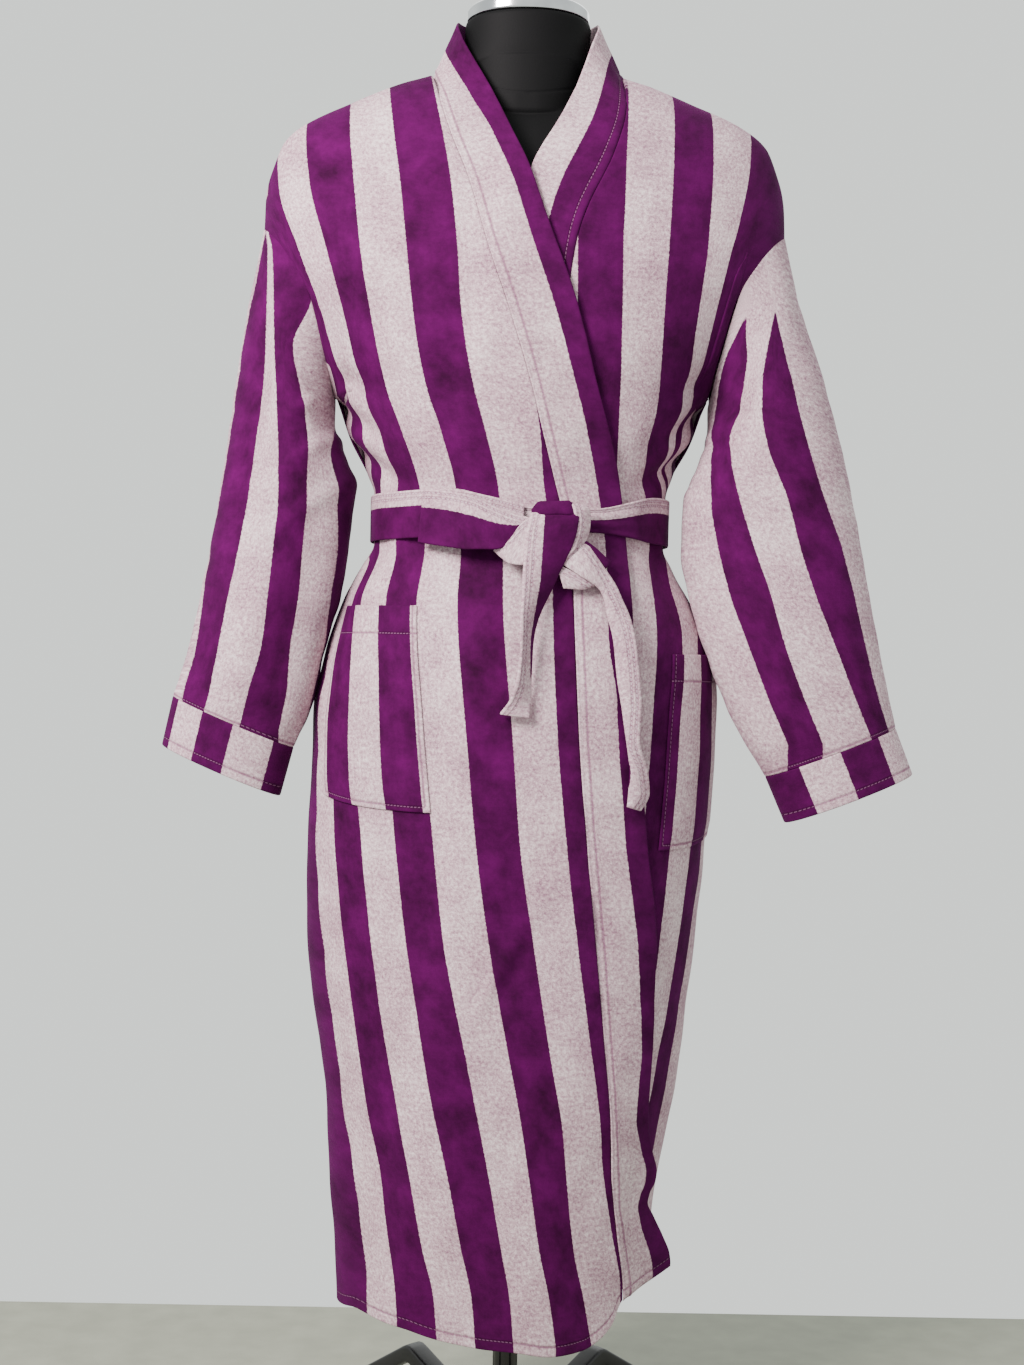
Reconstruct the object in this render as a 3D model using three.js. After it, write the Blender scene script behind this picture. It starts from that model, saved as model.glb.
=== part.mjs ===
// A long kimono robe of striped velvet towelling, belted, on a limbless dress form.
// Millimetres, +Z up. The front faces -Y, the wearer's right side is at -X, the floor is z = 0
// and the pole of the form stands on the origin.
import * as THREE from "three";

const WALL = 2; // one layer of velvet towelling
const BAND_WALL = 2.4; // the front band is turned double
const BELT_WALL = 3;
const SEAM = 0.3; // clear space between two pieces that are sewn together
const LAYER = 6; // how far the upper front lies over the lower one
const BELT_WIDTH = 46;
const BELT_HEIGHT = 940; // middle of the belt, at the waist
const UNDERARM = 1059;
const STRIPE = 91; // one dark and one light stripe
const PLAN_ROUND = 2.3; // how square the plan sections of the body are; 2 is an ellipse

// A table has named columns and rows in order of its first column.
function table(names, ...rows) {
  const columns = {};
  names.split(" ").forEach((name, i) => (columns[name] = rows.map((row) => row[i])));
  return { key: columns[names.split(" ")[0]], columns };
}

// Reads a column at a place between rows, along a smooth curve that never overshoots.
function read(source, name, at) {
  const xs = source.key;
  const ys = source.columns[name];
  const last = xs.length - 1;
  if (at <= xs[0]) return ys[0];
  if (at >= xs[last]) return ys[last];
  let i = 0;
  while (at > xs[i + 1]) i++;
  const slope = (k) => (ys[k + 1] - ys[k]) / (xs[k + 1] - xs[k]);
  const tangent = (k) => {
    if (k === 0) return slope(0);
    if (k === last) return slope(last - 1);
    const before = slope(k - 1);
    const after = slope(k);
    return before * after <= 0 ? 0 : (2 * before * after) / (before + after);
  };
  const step = xs[i + 1] - xs[i];
  const t = (at - xs[i]) / step;
  const bend = step * t * (1 - t);
  const blend = t * t * (3 - 2 * t);
  return ys[i] + (ys[i + 1] - ys[i]) * blend + bend * ((1 - t) * tangent(i) - t * tangent(i + 1));
}

const clamp = (v, low, high) => Math.min(high, Math.max(low, v));
const smooth = (v) => clamp(v, 0, 1) ** 2 * (3 - 2 * clamp(v, 0, 1));
const mix = (a, b, t) => a + (b - a) * t;
const mix3 = (a, b, t) => a.map((v, i) => mix(v, b[i], t));
const radians = (degrees) => (degrees * Math.PI) / 180;
const bump = (v, middle, width) => Math.exp(-(((v - middle) / width) ** 2));

// Plan sections of the worn robe, from the hem up. left and right are the half widths,
// front and back the depths, lens how pointed the front half is at its sides.
const BODY = table(
  "z left right front back lens",
  [150, -167, 136, 106, 142, 0.64],
  [200, -169, 139, 108, 144, 0.63],
  [300, -178, 150, 112, 148, 0.6],
  [380, -184, 164, 115, 150, 0.57],
  [460, -197, 173, 117, 150, 0.55],
  [530, -204, 181, 119, 150, 0.53],
  [620, -205, 190, 121, 148, 0.5],
  [680, -203, 194, 122, 145, 0.5],
  [760, -201, 196, 122, 138, 0.5],
  [805, -191, 192, 118, 130, 0.5],
  [860, -173, 172, 110, 114, 0.5],
  [895, -155, 154, 101, 98, 0.5],
  [915, -144.5, 144.5, 96, 88, 0.5],
  [965, -144.5, 144.5, 96, 88, 0.5],
  [985, -152, 150, 100, 93, 0.5],
  [1020, -170, 168, 108, 102, 0.5],
  [1060, -184, 182, 115, 108, 0.5],
  [1110, -212, 212, 121, 112, 0.5],
  [1170, -245, 245, 121, 114, 0.5],
  [1230, -259, 259, 118, 112, 0.5],
  [1460, -259, 259, 110, 106, 0.5],
);

// The shoulder line, from the neck out to the top of the armhole.
const SHOULDER = table(
  "x z",
  [0, 1396],
  [75, 1391],
  [95, 1382],
  [122, 1374],
  [173, 1354],
  [215, 1335],
  [238, 1317],
  [251, 1287],
  [257, 1262],
  [258.5, 1228],
);
const BACK_NECK_RISE = 40; // lifts the back's ridge behind the neck, where the collar stands
const CHEST = 1150; // above this the body rolls over to the shoulder line
const NECK_POINT = 95; // half the width between the collar seams on the shoulder line
const TIP = { x: 258.5, z: 1228 }; // top of the armhole, below a dropped shoulder

// The armhole edge from the underarm to its top, as half width against height.
const ARMHOLE = table(
  "z x",
  [1059, 184],
  [1102, 193],
  [1161, 209],
  [1190, 226],
  [1212, 243],
  [1228, 258.5],
);

// Where the lengthwise threads of the upper front lie: the collar seam, then threads that are
// 0, 1, 2 and 3 stripe pairs from the one that meets the collar at the shoulder.
const UPPER = table(
  "z seam s0 s1 s2 s3 seamAt sideAt",
  [150, 109, 79, 7, -63, -130, 50, -322],
  [197, 108, 70.5, 3, -67, -133, 50, -319],
  [247, 102, 60, -6, -79, -140, 51.5, -316],
  [313, 95, 53, -18, -92, -150, 57, -311],
  [363, 93.5, 48, -28, -104, -160, 60, -308],
  [431, 87, 36, -42, -118, -169, 63, -303],
  [530, 77, 20, -63, -134, -182, 66.5, -296],
  [621, 67.5, 6, -75, -145, -190, 67, -290],
  [728, 58, -3, -87, -153, -192, 69, -283],
  [855, 51, -14, -97, -152, -170, 66, -276],
  [908, 48, -15, -91, -138, -150, 65, -273.5],
  [963, 34, -20, -96, -136, -146, 59, -273.5],
  [1020, 19, -34, -114, -158, -171, 48, -273.5],
  [1059, 9, -45, -130, -172, -184, 45, -273.5],
  [1130, -13, -58, -146, -192, -204, 41, -262],
  [1191, -34, -63, -156, -216, -232, 31, -256],
  [1257, -54, -71, -164, -240, -259, 17, -252],
  [1306, -73, -80, -170, -246, -259, 8, -251],
  [1382, -95, -96, -176, -250, -259, 0, -251],
);

// The same for the lower front. Its side seam lies round at the back, given as an angle.
const LOWER = table(
  "z seam s0 s1 s2 side seamAt sideAt",
  [150, -38, 20, 85, 120, 130, -64, 322],
  [300, -15, 42, 104, 138, 124, -68, 312],
  [409, 2, 62, 121, 155, 120, -72, 305],
  [500, 15, 74, 137, 168, 118, -73, 298],
  [626, 30, 88, 148, 184, 115, -75, 290],
  [724, 36, 95, 155, 189, 112, -76, 283],
  [825, 38, 100, 160, 184, 106, -76, 276],
  [911, 34, 99, 143, 152, 98, -76, 273.5],
  [978, 30, 92, 139, 146, 94, -70, 273.5],
  [1059, 35, 93, 158, 176, 90, -62, 273.5],
  [1140, 41, 93, 168, 200, 90, -55, 262],
  [1198, 49, 93, 175, 218, 90, -46, 256],
  [1223, 56, 94, 177, 228, 90, -40, 254],
  [1287, 84, 96, 181, 244, 90, -12, 251],
  [1331, 95.5, 98, 182, 248, 90, -2, 251],
  [1373, 98, 99, 180, 250, 90, 0, 251],
  [1382, 95, 96, 177, 250, 90, 0, 251],
);

// The free edges of the two bands where they lie on the body, as x against height.
const UPPER_EDGE = table(
  "z x",
  [150, 156],
  [206, 156],
  [220, 154.5],
  [240, 147],
  [262, 138],
  [276, 132],
  [286, 134],
  [296, 139],
  [306, 140],
  [330, 135],
  [363, 130.5],
  [400, 131],
  [434, 133],
  [480, 133],
  [527, 134],
  [623, 124],
  [728, 114],
  [855, 106],
  [918, 99],
  [954, 95],
  [995, 88],
  [1064, 69],
  [1140, 49],
  [1215, 22],
  [1270, 3],
  [1304, -12],
  [1358, -36],
);
const LOWER_EDGE = table(
  "z x",
  [150, -98],
  [300, -78],
  [409, -60],
  [500, -46],
  [626, -32],
  [728, -26],
  [855, -22],
  [908, -27],
  [978, -30],
  [1066, -24],
  [1140, -14],
  [1180, -9],
  [1223, -5],
  [1269, 5],
  [1327, 34],
  [1358, 47],
);

// Rows of every panel: heights up to the underarm, then shares of the way to the top edge.
const HEIGHTS = [
  0, 246, 325, 410, 500, 590, 680, 755, 815, 864, 895, 915, 940, 965, 987, 1010, 1035, UNDERARM,
];
const SHARES = [0.14, 0.3, 0.46, 0.61, 0.75, 0.87, 0.95, 1];
const ROWS = HEIGHTS.length + SHARES.length - 1;

// The hem of the upper front, as height against x: it climbs to the corner of its band.
const FRONT_HEM = table(
  "x z",
  [-175, 160],
  [-162, 163],
  [-145, 168],
  [-128, 167],
  [-94, 164],
  [-63, 157],
  [-27, 151],
  [7, 148],
  [45, 142],
  [70, 144],
  [84, 150],
  [99, 163],
  [108, 183],
  [125, 199],
  [140, 205],
  [159, 206],
);
const UNDER_HEM = 7; // how far the lower front's hem stays above the upper one's
const SIDE_HEM = 24; // and how much more of it below the corner of the band

// Height of the hem: the upper front's own, and the one that the lower front and the back share.
function hemAt(x, y, side) {
  const front = read(FRONT_HEM, "z", x);
  if (side < 0) return front;
  const below = front + UNDER_HEM + SIDE_HEM * smooth((x - 100) / 40);
  const back = 158 + 0.0008 * x * x;
  return mix(below, back, smooth((y + 60) / 120));
}

// Half width and middle of the plan section at a height.
function section(z) {
  const left = read(BODY, "left", z);
  const right = read(BODY, "right", z);
  return { middle: (left + right) / 2, half: (right - left) / 2 };
}

// Depth of the front (side -1) or back (side +1) at a place, with its sign.
function depthAt(x, z, side) {
  const { middle, half } = section(z);
  const across = clamp(Math.abs((x - middle) / half), 0, 1);
  const outX = Math.abs(x);
  const behindNeck = side > 0 ? BACK_NECK_RISE * smooth((130 - outX) / 90) : 0;
  const ridge = read(SHOULDER, "z", outX) + behindNeck;
  const up = clamp((z - CHEST) / (ridge - CHEST), 0, 1);
  const roll = (1 - up ** 2.2) ** 0.5;
  const lens = side < 0 ? read(BODY, "lens", z) : 0.5;
  return side * read(BODY, side < 0 ? "front" : "back", z) * (1 - across ** PLAN_ROUND) ** lens * roll;
}

// A point of the body's surface: angle 0 is the front, 90 the wearer's left side, 180 the back.
function bodyPoint(angle, z) {
  const { middle, half } = section(z);
  const x = middle + half * Math.sin(radians(angle));
  const y = depthAt(x, z, Math.abs(angle) <= 90 ? -1 : 1);
  return [x, y, z];
}

// The angle of a point of the front that is given by its x.
function angleOf(x, z) {
  const { middle, half } = section(z);
  return (Math.asin(clamp((x - middle) / half, -1, 1)) * 180) / Math.PI;
}

// How far the upper front stands over the lower one: nothing up to its edge, then one layer.
function overlap(x, z) {
  const edge = read(LOWER_EDGE, "x", z);
  return LAYER * smooth((x - edge + 52) / 44) * smooth((1345 - z) / 60);
}

// Slanting drape folds at the sides between the underarm and the belt, and the small gathers
// that the belt makes below and above it. Inward only, so that the sleeves stay clear.
function drape(angle, z) {
  const side = smooth((Math.abs(angle) - 38) / 30) * smooth((150 - Math.abs(angle)) / 30);
  const slant = z + 0.9 * (90 - Math.abs(angle));
  const folds = bump(slant, 1010, 13) + bump(slant, 1052, 14) + 0.8 * bump(slant, 1096, 16);
  const gathers = bump(z, 885, 45) * (0.5 - 0.5 * Math.cos(radians(angle * 14 + 40)));
  return -8 * side * folds - 3.2 * gathers;
}

// Soft upright folds of the back, deeper towards the hem and just above the belt.
const BACK_FOLDS = 6;
const BACK_FOLD_DEPTH = table(
  "z depth",
  [150, 15],
  [400, 14],
  [700, 11],
  [860, 7],
  [918, 3],
  [962, 3],
  [1010, 6],
  [1100, 5],
  [1190, 0],
);
function backFold(across, z) {
  const fade = smooth(across / 0.1) * smooth((1 - across) / 0.1);
  const fold = 0.5 + 0.5 * Math.cos(radians(360 * BACK_FOLDS * across));
  return -read(BACK_FOLD_DEPTH, "depth", z) * fade * fold;
}

// Moves a point of the body out along the level normal of its section.
function moveOut(point, amount) {
  const [x, y, z] = point;
  const { middle, half } = section(z);
  const depth = read(BODY, y < 0 ? "front" : "back", z);
  const nx = (x - middle) / (half * half);
  const ny = y / (depth * depth);
  const size = Math.hypot(nx, ny) || 1;
  return [x + (amount * nx) / size, y + (amount * ny) / size, z];
}

// x of a thread of a front, by the share of the way from the side to the collar seam.
function threadX(threads, side, share, z) {
  const seamAt = read(threads, "seamAt", z);
  const sideAt = read(threads, "sideAt", z);
  const at = mix(sideAt, seamAt, share);
  const names = side < 0 ? ["s3", "s2", "s1", "s0", "seam"] : ["s2", "s1", "s0", "seam"];
  const places = names.map((name) => (name === "seam" ? seamAt : side * STRIPE * Number(name[1])));
  const angles = names.map((name) => angleOf(read(threads, name, z), z));
  const sideAngle = side < 0 ? -90 : read(threads, "side", z);
  if (Math.abs(sideAt - places[0]) > 1) {
    places.unshift(sideAt);
    angles.unshift(sideAngle);
  } else {
    angles[0] = sideAngle;
  }
  let i = 0;
  while (i < places.length - 2 && (at - places[i + 1]) * side < 0) i++;
  const t = (at - places[i]) / (places[i + 1] - places[i]);
  return { at, angle: mix(angles[i], angles[i + 1], clamp(t, 0, 1)) };
}

// One row of a panel below the underarm, or one of the rows that rise to its top edge.
function rowHeight(row, top, hem) {
  if (row === 0) return hem;
  if (row < HEIGHTS.length) return HEIGHTS[row];
  return mix(UNDERARM, top, SHARES[row - HEIGHTS.length]);
}

// A front panel, from its side (share 0) to its collar seam (share 1). side is -1 for the upper
// front, on the wearer's right, and +1 for the lower one.
function frontPoint(threads, side, share, row) {
  if (row < HEIGHTS.length) {
    let z = rowHeight(row, 0, 155);
    let { angle } = threadX(threads, side, share, z);
    let p = bodyPoint(angle, z);
    if (row === 0) {
      z = hemAt(p[0], p[1], side);
      p = bodyPoint(angle, z);
    }
    p = moveOut(p, drape(angle, z) * smooth((1 - share) / 0.25));
    return side < 0 ? moveOut(p, overlap(p[0], z)) : p;
  }
  const level = SHARES[row - HEIGHTS.length];
  const outTop = side * shoulderX(share);
  const top = read(SHOULDER, "z", Math.abs(outTop));
  const z = mix(UNDERARM, top, level);
  const edgeZ = mix(UNDERARM, TIP.z, level);
  const edgeX = side * read(ARMHOLE, "x", edgeZ);
  const seamX = read(threads, "seam", z);
  const { angle } = threadX(threads, side, share, z);
  const { middle, half } = section(z);
  let x = middle + half * Math.sin(radians(angle));
  const reach = mix(edgeX, seamX, share);
  x = mix(x, reach, 1 - smooth(share / 0.3));
  x = mix(x, outTop, smooth((level - 0.55) / 0.45) ** (1 + 6 * share));
  if (share === 0) x = edgeX;
  if (share === 1) x = seamX;
  const fade = smooth((1 - share) / 0.25) * smooth(share / 0.1) * (1 - smooth(level / 0.5));
  const fold = drape(angleOf(x, z), z) * fade;
  const y = depthAt(x, z, -1);
  const p = moveOut([x, y, z], fold);
  return side < 0 ? moveOut(p, overlap(x, z)) : p;
}

// Half width on the shoulder line at a share of the way from the armhole to the neck.
const SHOULDER_WALK = table(
  "share x",
  [0, 258.5],
  [0.16, 256],
  [0.28, 248],
  [0.38, 235],
  [0.5, 212],
  [1, NECK_POINT],
);
const shoulderX = (share) => read(SHOULDER_WALK, "x", share);

// The back, from the wearer's right side (share 0) to the left side (share 1).
function backPoint(share, row) {
  const mirrored = share > 0.5 ? 1 - share : share;
  const side = share > 0.5 ? 1 : -1;
  if (row < HEIGHTS.length) {
    const level = rowHeight(row, 0, 155);
    const angle = mix(-90, read(LOWER, "side", level) - 360, share);
    let p = bodyPoint(angle < -180 ? angle + 360 : angle, level);
    if (row === 0) p = [p[0], p[1], hemAt(p[0], p[1], 1)];
    const sideFold = drape(angle < -180 ? 360 + angle : angle, level) * smooth(mirrored / 0.06);
    return moveOut(p, Math.min(backFold(share, level), sideFold));
  }
  const level = SHARES[row - HEIGHTS.length];
  const reachNeck = 0.36; // share of the back's half that the shoulder takes, from 0 to 0.36
  const byNeck = (NECK_POINT * (0.5 - mirrored)) / (0.5 - reachNeck);
  const outTop = mirrored < reachNeck ? shoulderX(mirrored / reachNeck) : byNeck;
  const top = outTop >= NECK_POINT ? read(SHOULDER, "z", outTop) : backNeckZ(outTop);
  const z = mix(UNDERARM, top, level);
  const edgeX = read(ARMHOLE, "x", mix(UNDERARM, TIP.z, level));
  const half = section(z).half;
  const straight = half * Math.sin(radians(90 - 180 * mirrored));
  let x = mix(Math.min(straight, mix(edgeX, 0, mirrored / 0.5) * 1.15), edgeX * (1 - 2 * mirrored), 0.55);
  x = mix(x, edgeX * (1 - 2 * mirrored), 1 - smooth(mirrored / 0.15));
  x = mix(edgeX * Math.cos(Math.PI * mirrored), x, smooth(level / 0.35));
  x = mix(x, outTop, smooth((level - 0.35) / 0.65));
  if (mirrored === 0) x = edgeX;
  const y = depthAt(side * x, z, 1);
  return moveOut([side * x, y, z], backFold(share, z) * (1 - smooth(level / 0.6)));
}

// Height of the back neck seam, a shallow curve between the neck points.
const backNeckZ = (x) => mix(1381, 1382, 1 - (x / NECK_POINT) ** 2);

// Turns a grid of points into a wall: the grid is its middle, and it is closed round its rim.
// Where the grid closes on itself across, it has no side rims.
function wall(grid, thickness, ring = false) {
  const rows = grid.length;
  const across = grid[0].length;
  const at = (r, c) => grid[clamp(r, 0, rows - 1)][ring ? (c + across) % across : clamp(c, 0, across - 1)];
  const outer = [];
  const inner = [];
  for (let r = 0; r < rows; r++) {
    for (let c = 0; c < across; c++) {
      const along = new THREE.Vector3(...at(r + 1, c)).sub(new THREE.Vector3(...at(r - 1, c)));
      const sideways = new THREE.Vector3(...at(r, c + 1)).sub(new THREE.Vector3(...at(r, c - 1)));
      const normal = sideways.cross(along).normalize().multiplyScalar(thickness / 2);
      const middle = new THREE.Vector3(...grid[r][c]);
      outer.push(middle.clone().add(normal));
      inner.push(middle.clone().sub(normal));
    }
  }
  const count = rows * across;
  const points = [...outer, ...inner];
  const faces = [];
  const quad = (a, b, c, d) => faces.push(a, b, c, a, c, d);
  const index = (r, c) => r * across + (ring ? (c + across) % across : c);
  const lastColumn = ring ? across : across - 1;
  for (let r = 0; r < rows - 1; r++) {
    for (let c = 0; c < lastColumn; c++) {
      quad(index(r, c), index(r, c + 1), index(r + 1, c + 1), index(r + 1, c));
      const back = [index(r, c), index(r + 1, c), index(r + 1, c + 1), index(r, c + 1)];
      quad(...back.map((corner) => corner + count));
    }
    if (!ring) {
      quad(index(r, 0), index(r + 1, 0), index(r + 1, 0) + count, index(r, 0) + count);
      const end = across - 1;
      quad(index(r + 1, end), index(r, end), index(r, end) + count, index(r + 1, end) + count);
    }
  }
  for (let c = 0; c < lastColumn; c++) {
    quad(index(0, c + 1), index(0, c), index(0, c) + count, index(0, c + 1) + count);
    const top = rows - 1;
    quad(index(top, c), index(top, c + 1), index(top, c + 1) + count, index(top, c) + count);
  }
  return solid(points, faces);
}

// A geometry from points and triangle corners, turned so that its faces point out.
function solid(points, faces) {
  let volume = 0;
  for (let i = 0; i < faces.length; i += 3) {
    const [a, b, c] = [0, 1, 2].map((k) => points[faces[i + k]]);
    volume += a.dot(b.clone().cross(c));
  }
  const order = volume < 0 ? faces.slice().reverse() : faces;
  const geometry = new THREE.BufferGeometry();
  const places = points.flatMap((p) => [p.x, p.y, p.z]);
  geometry.setAttribute("position", new THREE.Float32BufferAttribute(places, 3));
  geometry.setIndex(order);
  geometry.computeVertexNormals();
  return geometry;
}

// A closed body through rings of points, with a flat fan at each end.
function loft(rings) {
  const points = rings.flat().map((p) => new THREE.Vector3(...p));
  const across = rings[0].length;
  const faces = [];
  for (let r = 0; r < rings.length - 1; r++) {
    for (let c = 0; c < across; c++) {
      const next = (c + 1) % across;
      const a = r * across + c;
      const b = r * across + next;
      faces.push(a, b, b + across, a, b + across, a + across);
    }
  }
  const ends = [rings[0], rings.at(-1)].map((ring) => {
    const middle = ring.reduce((sum, p) => sum.map((v, i) => v + p[i] / ring.length), [0, 0, 0]);
    points.push(new THREE.Vector3(...middle));
    return points.length - 1;
  });
  const top = (rings.length - 1) * across;
  for (let c = 0; c < across; c++) {
    const next = (c + 1) % across;
    faces.push(ends[0], next, c);
    faces.push(ends[1], top + c, top + next);
  }
  return solid(points, faces);
}

function grid(rows, across, point) {
  const row = (r) => Array.from({ length: across + 1 }, (_, c) => point(c / across, r));
  return Array.from({ length: rows + 1 }, (_, r) => row(r));
}

// Trims a strip from one side of a grid, so that a seam stays open by that much.
function trim(rows, amount, atEnd) {
  return rows.map((row) => {
    const points = atEnd ? row.slice().reverse() : row.slice();
    const gap = Math.hypot(...points[1].map((v, i) => v - points[0][i]));
    points[0] = mix3(points[0], points[1], Math.min(0.45, amount / gap));
    return atEnd ? points.reverse() : points;
  });
}

// Lowers the top row of a grid along its columns, for the shoulder seam.
function trimTop(rows, amount) {
  const top = rows.length - 1;
  return rows.map((row, r) =>
    r < top
      ? row
      : row.map((p, c) => {
          const below = rows[top - 1][c];
          return mix3(p, below, amount / Math.hypot(...p.map((v, i) => v - below[i])));
        }),
  );
}

const FRONT_COLUMNS = 10;
const BACK_COLUMNS = 32;
const SHOULDER_GAP = 1.3; // each side of the shoulder seam, so that the two rims stay apart

function frontPanel(threads, side) {
  let rows = grid(ROWS, FRONT_COLUMNS, (share, row) => frontPoint(threads, side, share, row));
  rows = trim(trim(rows, SEAM / 2 + 0.6, false), SEAM / 2 + 0.55, true);
  return wall(trimTop(rows, SHOULDER_GAP), WALL);
}

function backPanel() {
  let rows = grid(ROWS, BACK_COLUMNS, backPoint);
  rows = trim(trim(rows, SEAM / 2 + 1.2, false), SEAM / 2 + 1.2, true);
  return wall(trimTop(rows, SHOULDER_GAP), WALL);
}

// The standing part of the collar round the neck, from the centre back to the front of the neck:
// its seam and its free edge.
const COLLAR = table(
  "walk seamX seamY seamZ edgeX edgeY edgeZ",
  [0, 0, 71, 1384, 0, 74, 1447],
  [0.25, 37, 66, 1384, 35, 66, 1448],
  [0.5, 70, 46, 1384, 60, 42, 1447],
  [0.72, 88, 22, 1384, 69, 14, 1443],
  [0.88, 93.8, 2, 1382, 70, -10, 1433],
  [1, 92, -20, 1373, 64, -36, 1411],
);
const COLLAR_ROWS = 7;
const NECK_REACH = 2.5; // how much farther out the lower front's band starts at the neck point
const CHEST_HEIGHTS = [1358, 1330, 1300, 1266, 1230, 1190, 1148, 1104];
const BAND_COLUMNS = 4;
const BAND_TOP = 1358; // below this the band lies on the chest
const BAND_TURN = 0.8; // share of the half width where a band leaves the body
const BAND_SLANT = 0.85;
const NECK_ROWS = 3; // rows that join the standing collar to the band on the chest

// Depth of a band: on the body, and past the turn of its side straight on at a slant.
function bandDepth(x, z) {
  const { middle, half } = section(z);
  const turn = middle + half * BAND_TURN;
  if (x <= turn) return depthAt(x, z, -1);
  return depthAt(turn, z, -1) + (x - turn) * BAND_SLANT;
}

// A band: down the front from BAND_TOP to the hem, with the standing collar above it.
function bandGrid(threads, edge, side, lift) {
  const rows = [];
  for (let i = 0; i < COLLAR_ROWS; i++) {
    const walk = i / (COLLAR_ROWS - 1);
    const value = (name) => read(COLLAR, name, walk);
    const reach = side > 0 ? NECK_REACH * smooth((walk - 0.7) / 0.3) : 0;
    const seam = [side * (value("seamX") + reach), value("seamY"), value("seamZ")];
    const free = [side * value("edgeX"), value("edgeY"), value("edgeZ")];
    rows.push([seam, free]);
  }
  const lying = [];
  for (const edgeZ of [...CHEST_HEIGHTS, ...HEIGHTS.slice(1).reverse(), 150]) {
    lying.push([edgeZ - 16 * smooth((edgeZ - 960) / 300), edgeZ]);
  }
  const onBody = (x, z) => moveOut([x, bandDepth(x, z), z], lift(x, z));
  lying.forEach(([seamZ, edgeZ]) => {
    const seam = onBody(read(threads, "seam", seamZ), seamZ);
    const free = onBody(read(edge, "x", edgeZ), edgeZ);
    rows.push([seam, free, seamZ, edgeZ]);
  });
  return rows.map(([seam, free, seamZ, edgeZ], r) =>
    Array.from({ length: BAND_COLUMNS + 1 }, (_, c) => {
      const t = c / BAND_COLUMNS;
      const straight = mix3(seam, free, t);
      if (seamZ === undefined) return straight;
      const last = r === rows.length - 1;
      const x = straight[0];
      const z = last ? hemAt(x, straight[1], side) : straight[2];
      const lying3 = onBody(x, z);
      const settle = smooth((r - COLLAR_ROWS) / NECK_ROWS);
      return mix3([straight[0], straight[1], z], lying3, settle);
    }),
  );
}

function band(threads, edge, side, lift) {
  let rows = bandGrid(threads, edge, side, lift);
  rows = trim(rows, SEAM / 2 + 0.4, false);
  rows = rows.slice();
  rows[0] = rows[0].map(([x, y, z]) => [x + side * 0.6, y, z]);
  return wall(rows, BAND_WALL);
}

// Sleeves: silhouette points on the outside and inside, half the thickness front to back, and
// how far the section's middle lies forward. The first section is the armhole itself.
const SLEEVE = {
  right: table(
    "walk outX outZ inX inZ deep forward",
    [0, -258.5, 1228, -184.0, 1059, 60, 0],
    [0.1, -265.7, 1185, -187.3, 1036, 64, 2],
    [0.22, -272.3, 1139, -181.5, 1015, 66, 5],
    [0.34, -280.7, 1084, -173.2, 995, 66, 9],
    [0.46, -289.9, 1018, -165.8, 971, 63, 14],
    [0.58, -299.1, 953, -169.4, 924, 59, 19],
    [0.7, -306.2, 899, -175.9, 867, 56, 24],
    [0.82, -315.5, 839, -190.3, 812, 52, 28],
    [0.91, -325.0, 795, -200.9, 757, 47, 30],
    [1, -336.8, 761, -219.6, 713, 42, 30],
  ),
  left: table(
    "walk outX outZ inX inZ deep forward",
    [0, 258.5, 1228, 184.0, 1059, 60, 0],
    [0.1, 266.4, 1189, 187.1, 1035, 64, 4],
    [0.22, 278.7, 1143, 181.1, 1015, 66, 9],
    [0.34, 295.5, 1092, 173.5, 994, 66, 16],
    [0.46, 312.1, 1027, 160.9, 964, 63, 24],
    [0.58, 325.7, 962, 160.3, 915, 59, 31],
    [0.7, 337.2, 898, 170.5, 862, 56, 38],
    [0.82, 349.0, 839, 191.6, 796, 52, 43],
    [0.91, 359.4, 790, 216.8, 739, 47, 45],
    [1, 369.4, 742, 245.2, 693, 42, 44],
  ),
};
const CUFF_END = {
  right: { outX: -347, outZ: 713, inX: -232, inZ: 665 },
  left: { outX: 387, outZ: 697, inX: 265, inZ: 648 },
};
const SLEEVE_COLUMNS = 18;
const SLEEVE_ROWS = 12;
const SLEEVE_LEAVE = 2.6; // how far the sleeve hangs off the side seam below the underarm

// A point of a sleeve's section; turn 0 is its outside, 90 its front, 180 its inside.
function sleevePoint(rows, walk, turn) {
  const value = (name) => read(rows, name, walk);
  const out = [value("outX"), value("outZ")];
  const inner = [value("inX"), value("inZ")];
  const t = (1 - Math.cos(radians(turn))) / 2;
  const y = -value("forward") - value("deep") * Math.sin(radians(turn));
  return [mix(out[0], inner[0], t), y, mix(out[1], inner[1], t)];
}

// A point of the armhole edge at the same turn.
function armholePoint(side, turn) {
  const t = (1 - Math.cos(radians(turn))) / 2;
  const z = mix(TIP.z, UNDERARM, t);
  const x = side * read(ARMHOLE, "x", z);
  const p = [x, depthAt(x, z, Math.sin(radians(turn)) > 0 ? -1 : 1), z];
  const leave = SLEEVE_LEAVE * smooth((t - 0.8) / 0.2) + (p[1] > 0 ? 1.2 * bump(t, 0.12, 0.12) : 0);
  return [p[0] + side * (SEAM + 1.3 + leave), p[1], p[2] - SEAM - 1];
}

function sleeveGrid(name) {
  const side = name === "right" ? -1 : 1;
  return Array.from({ length: SLEEVE_ROWS + 1 }, (_, r) =>
    Array.from({ length: SLEEVE_COLUMNS }, (_, c) => {
      const turn = (360 * c) / SLEEVE_COLUMNS;
      const walk = (r / SLEEVE_ROWS) ** 1.1;
      const free = sleevePoint(SLEEVE[name], walk, turn);
      return mix3(armholePoint(side, turn), free, smooth(walk / 0.12));
    }),
  );
}

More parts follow.
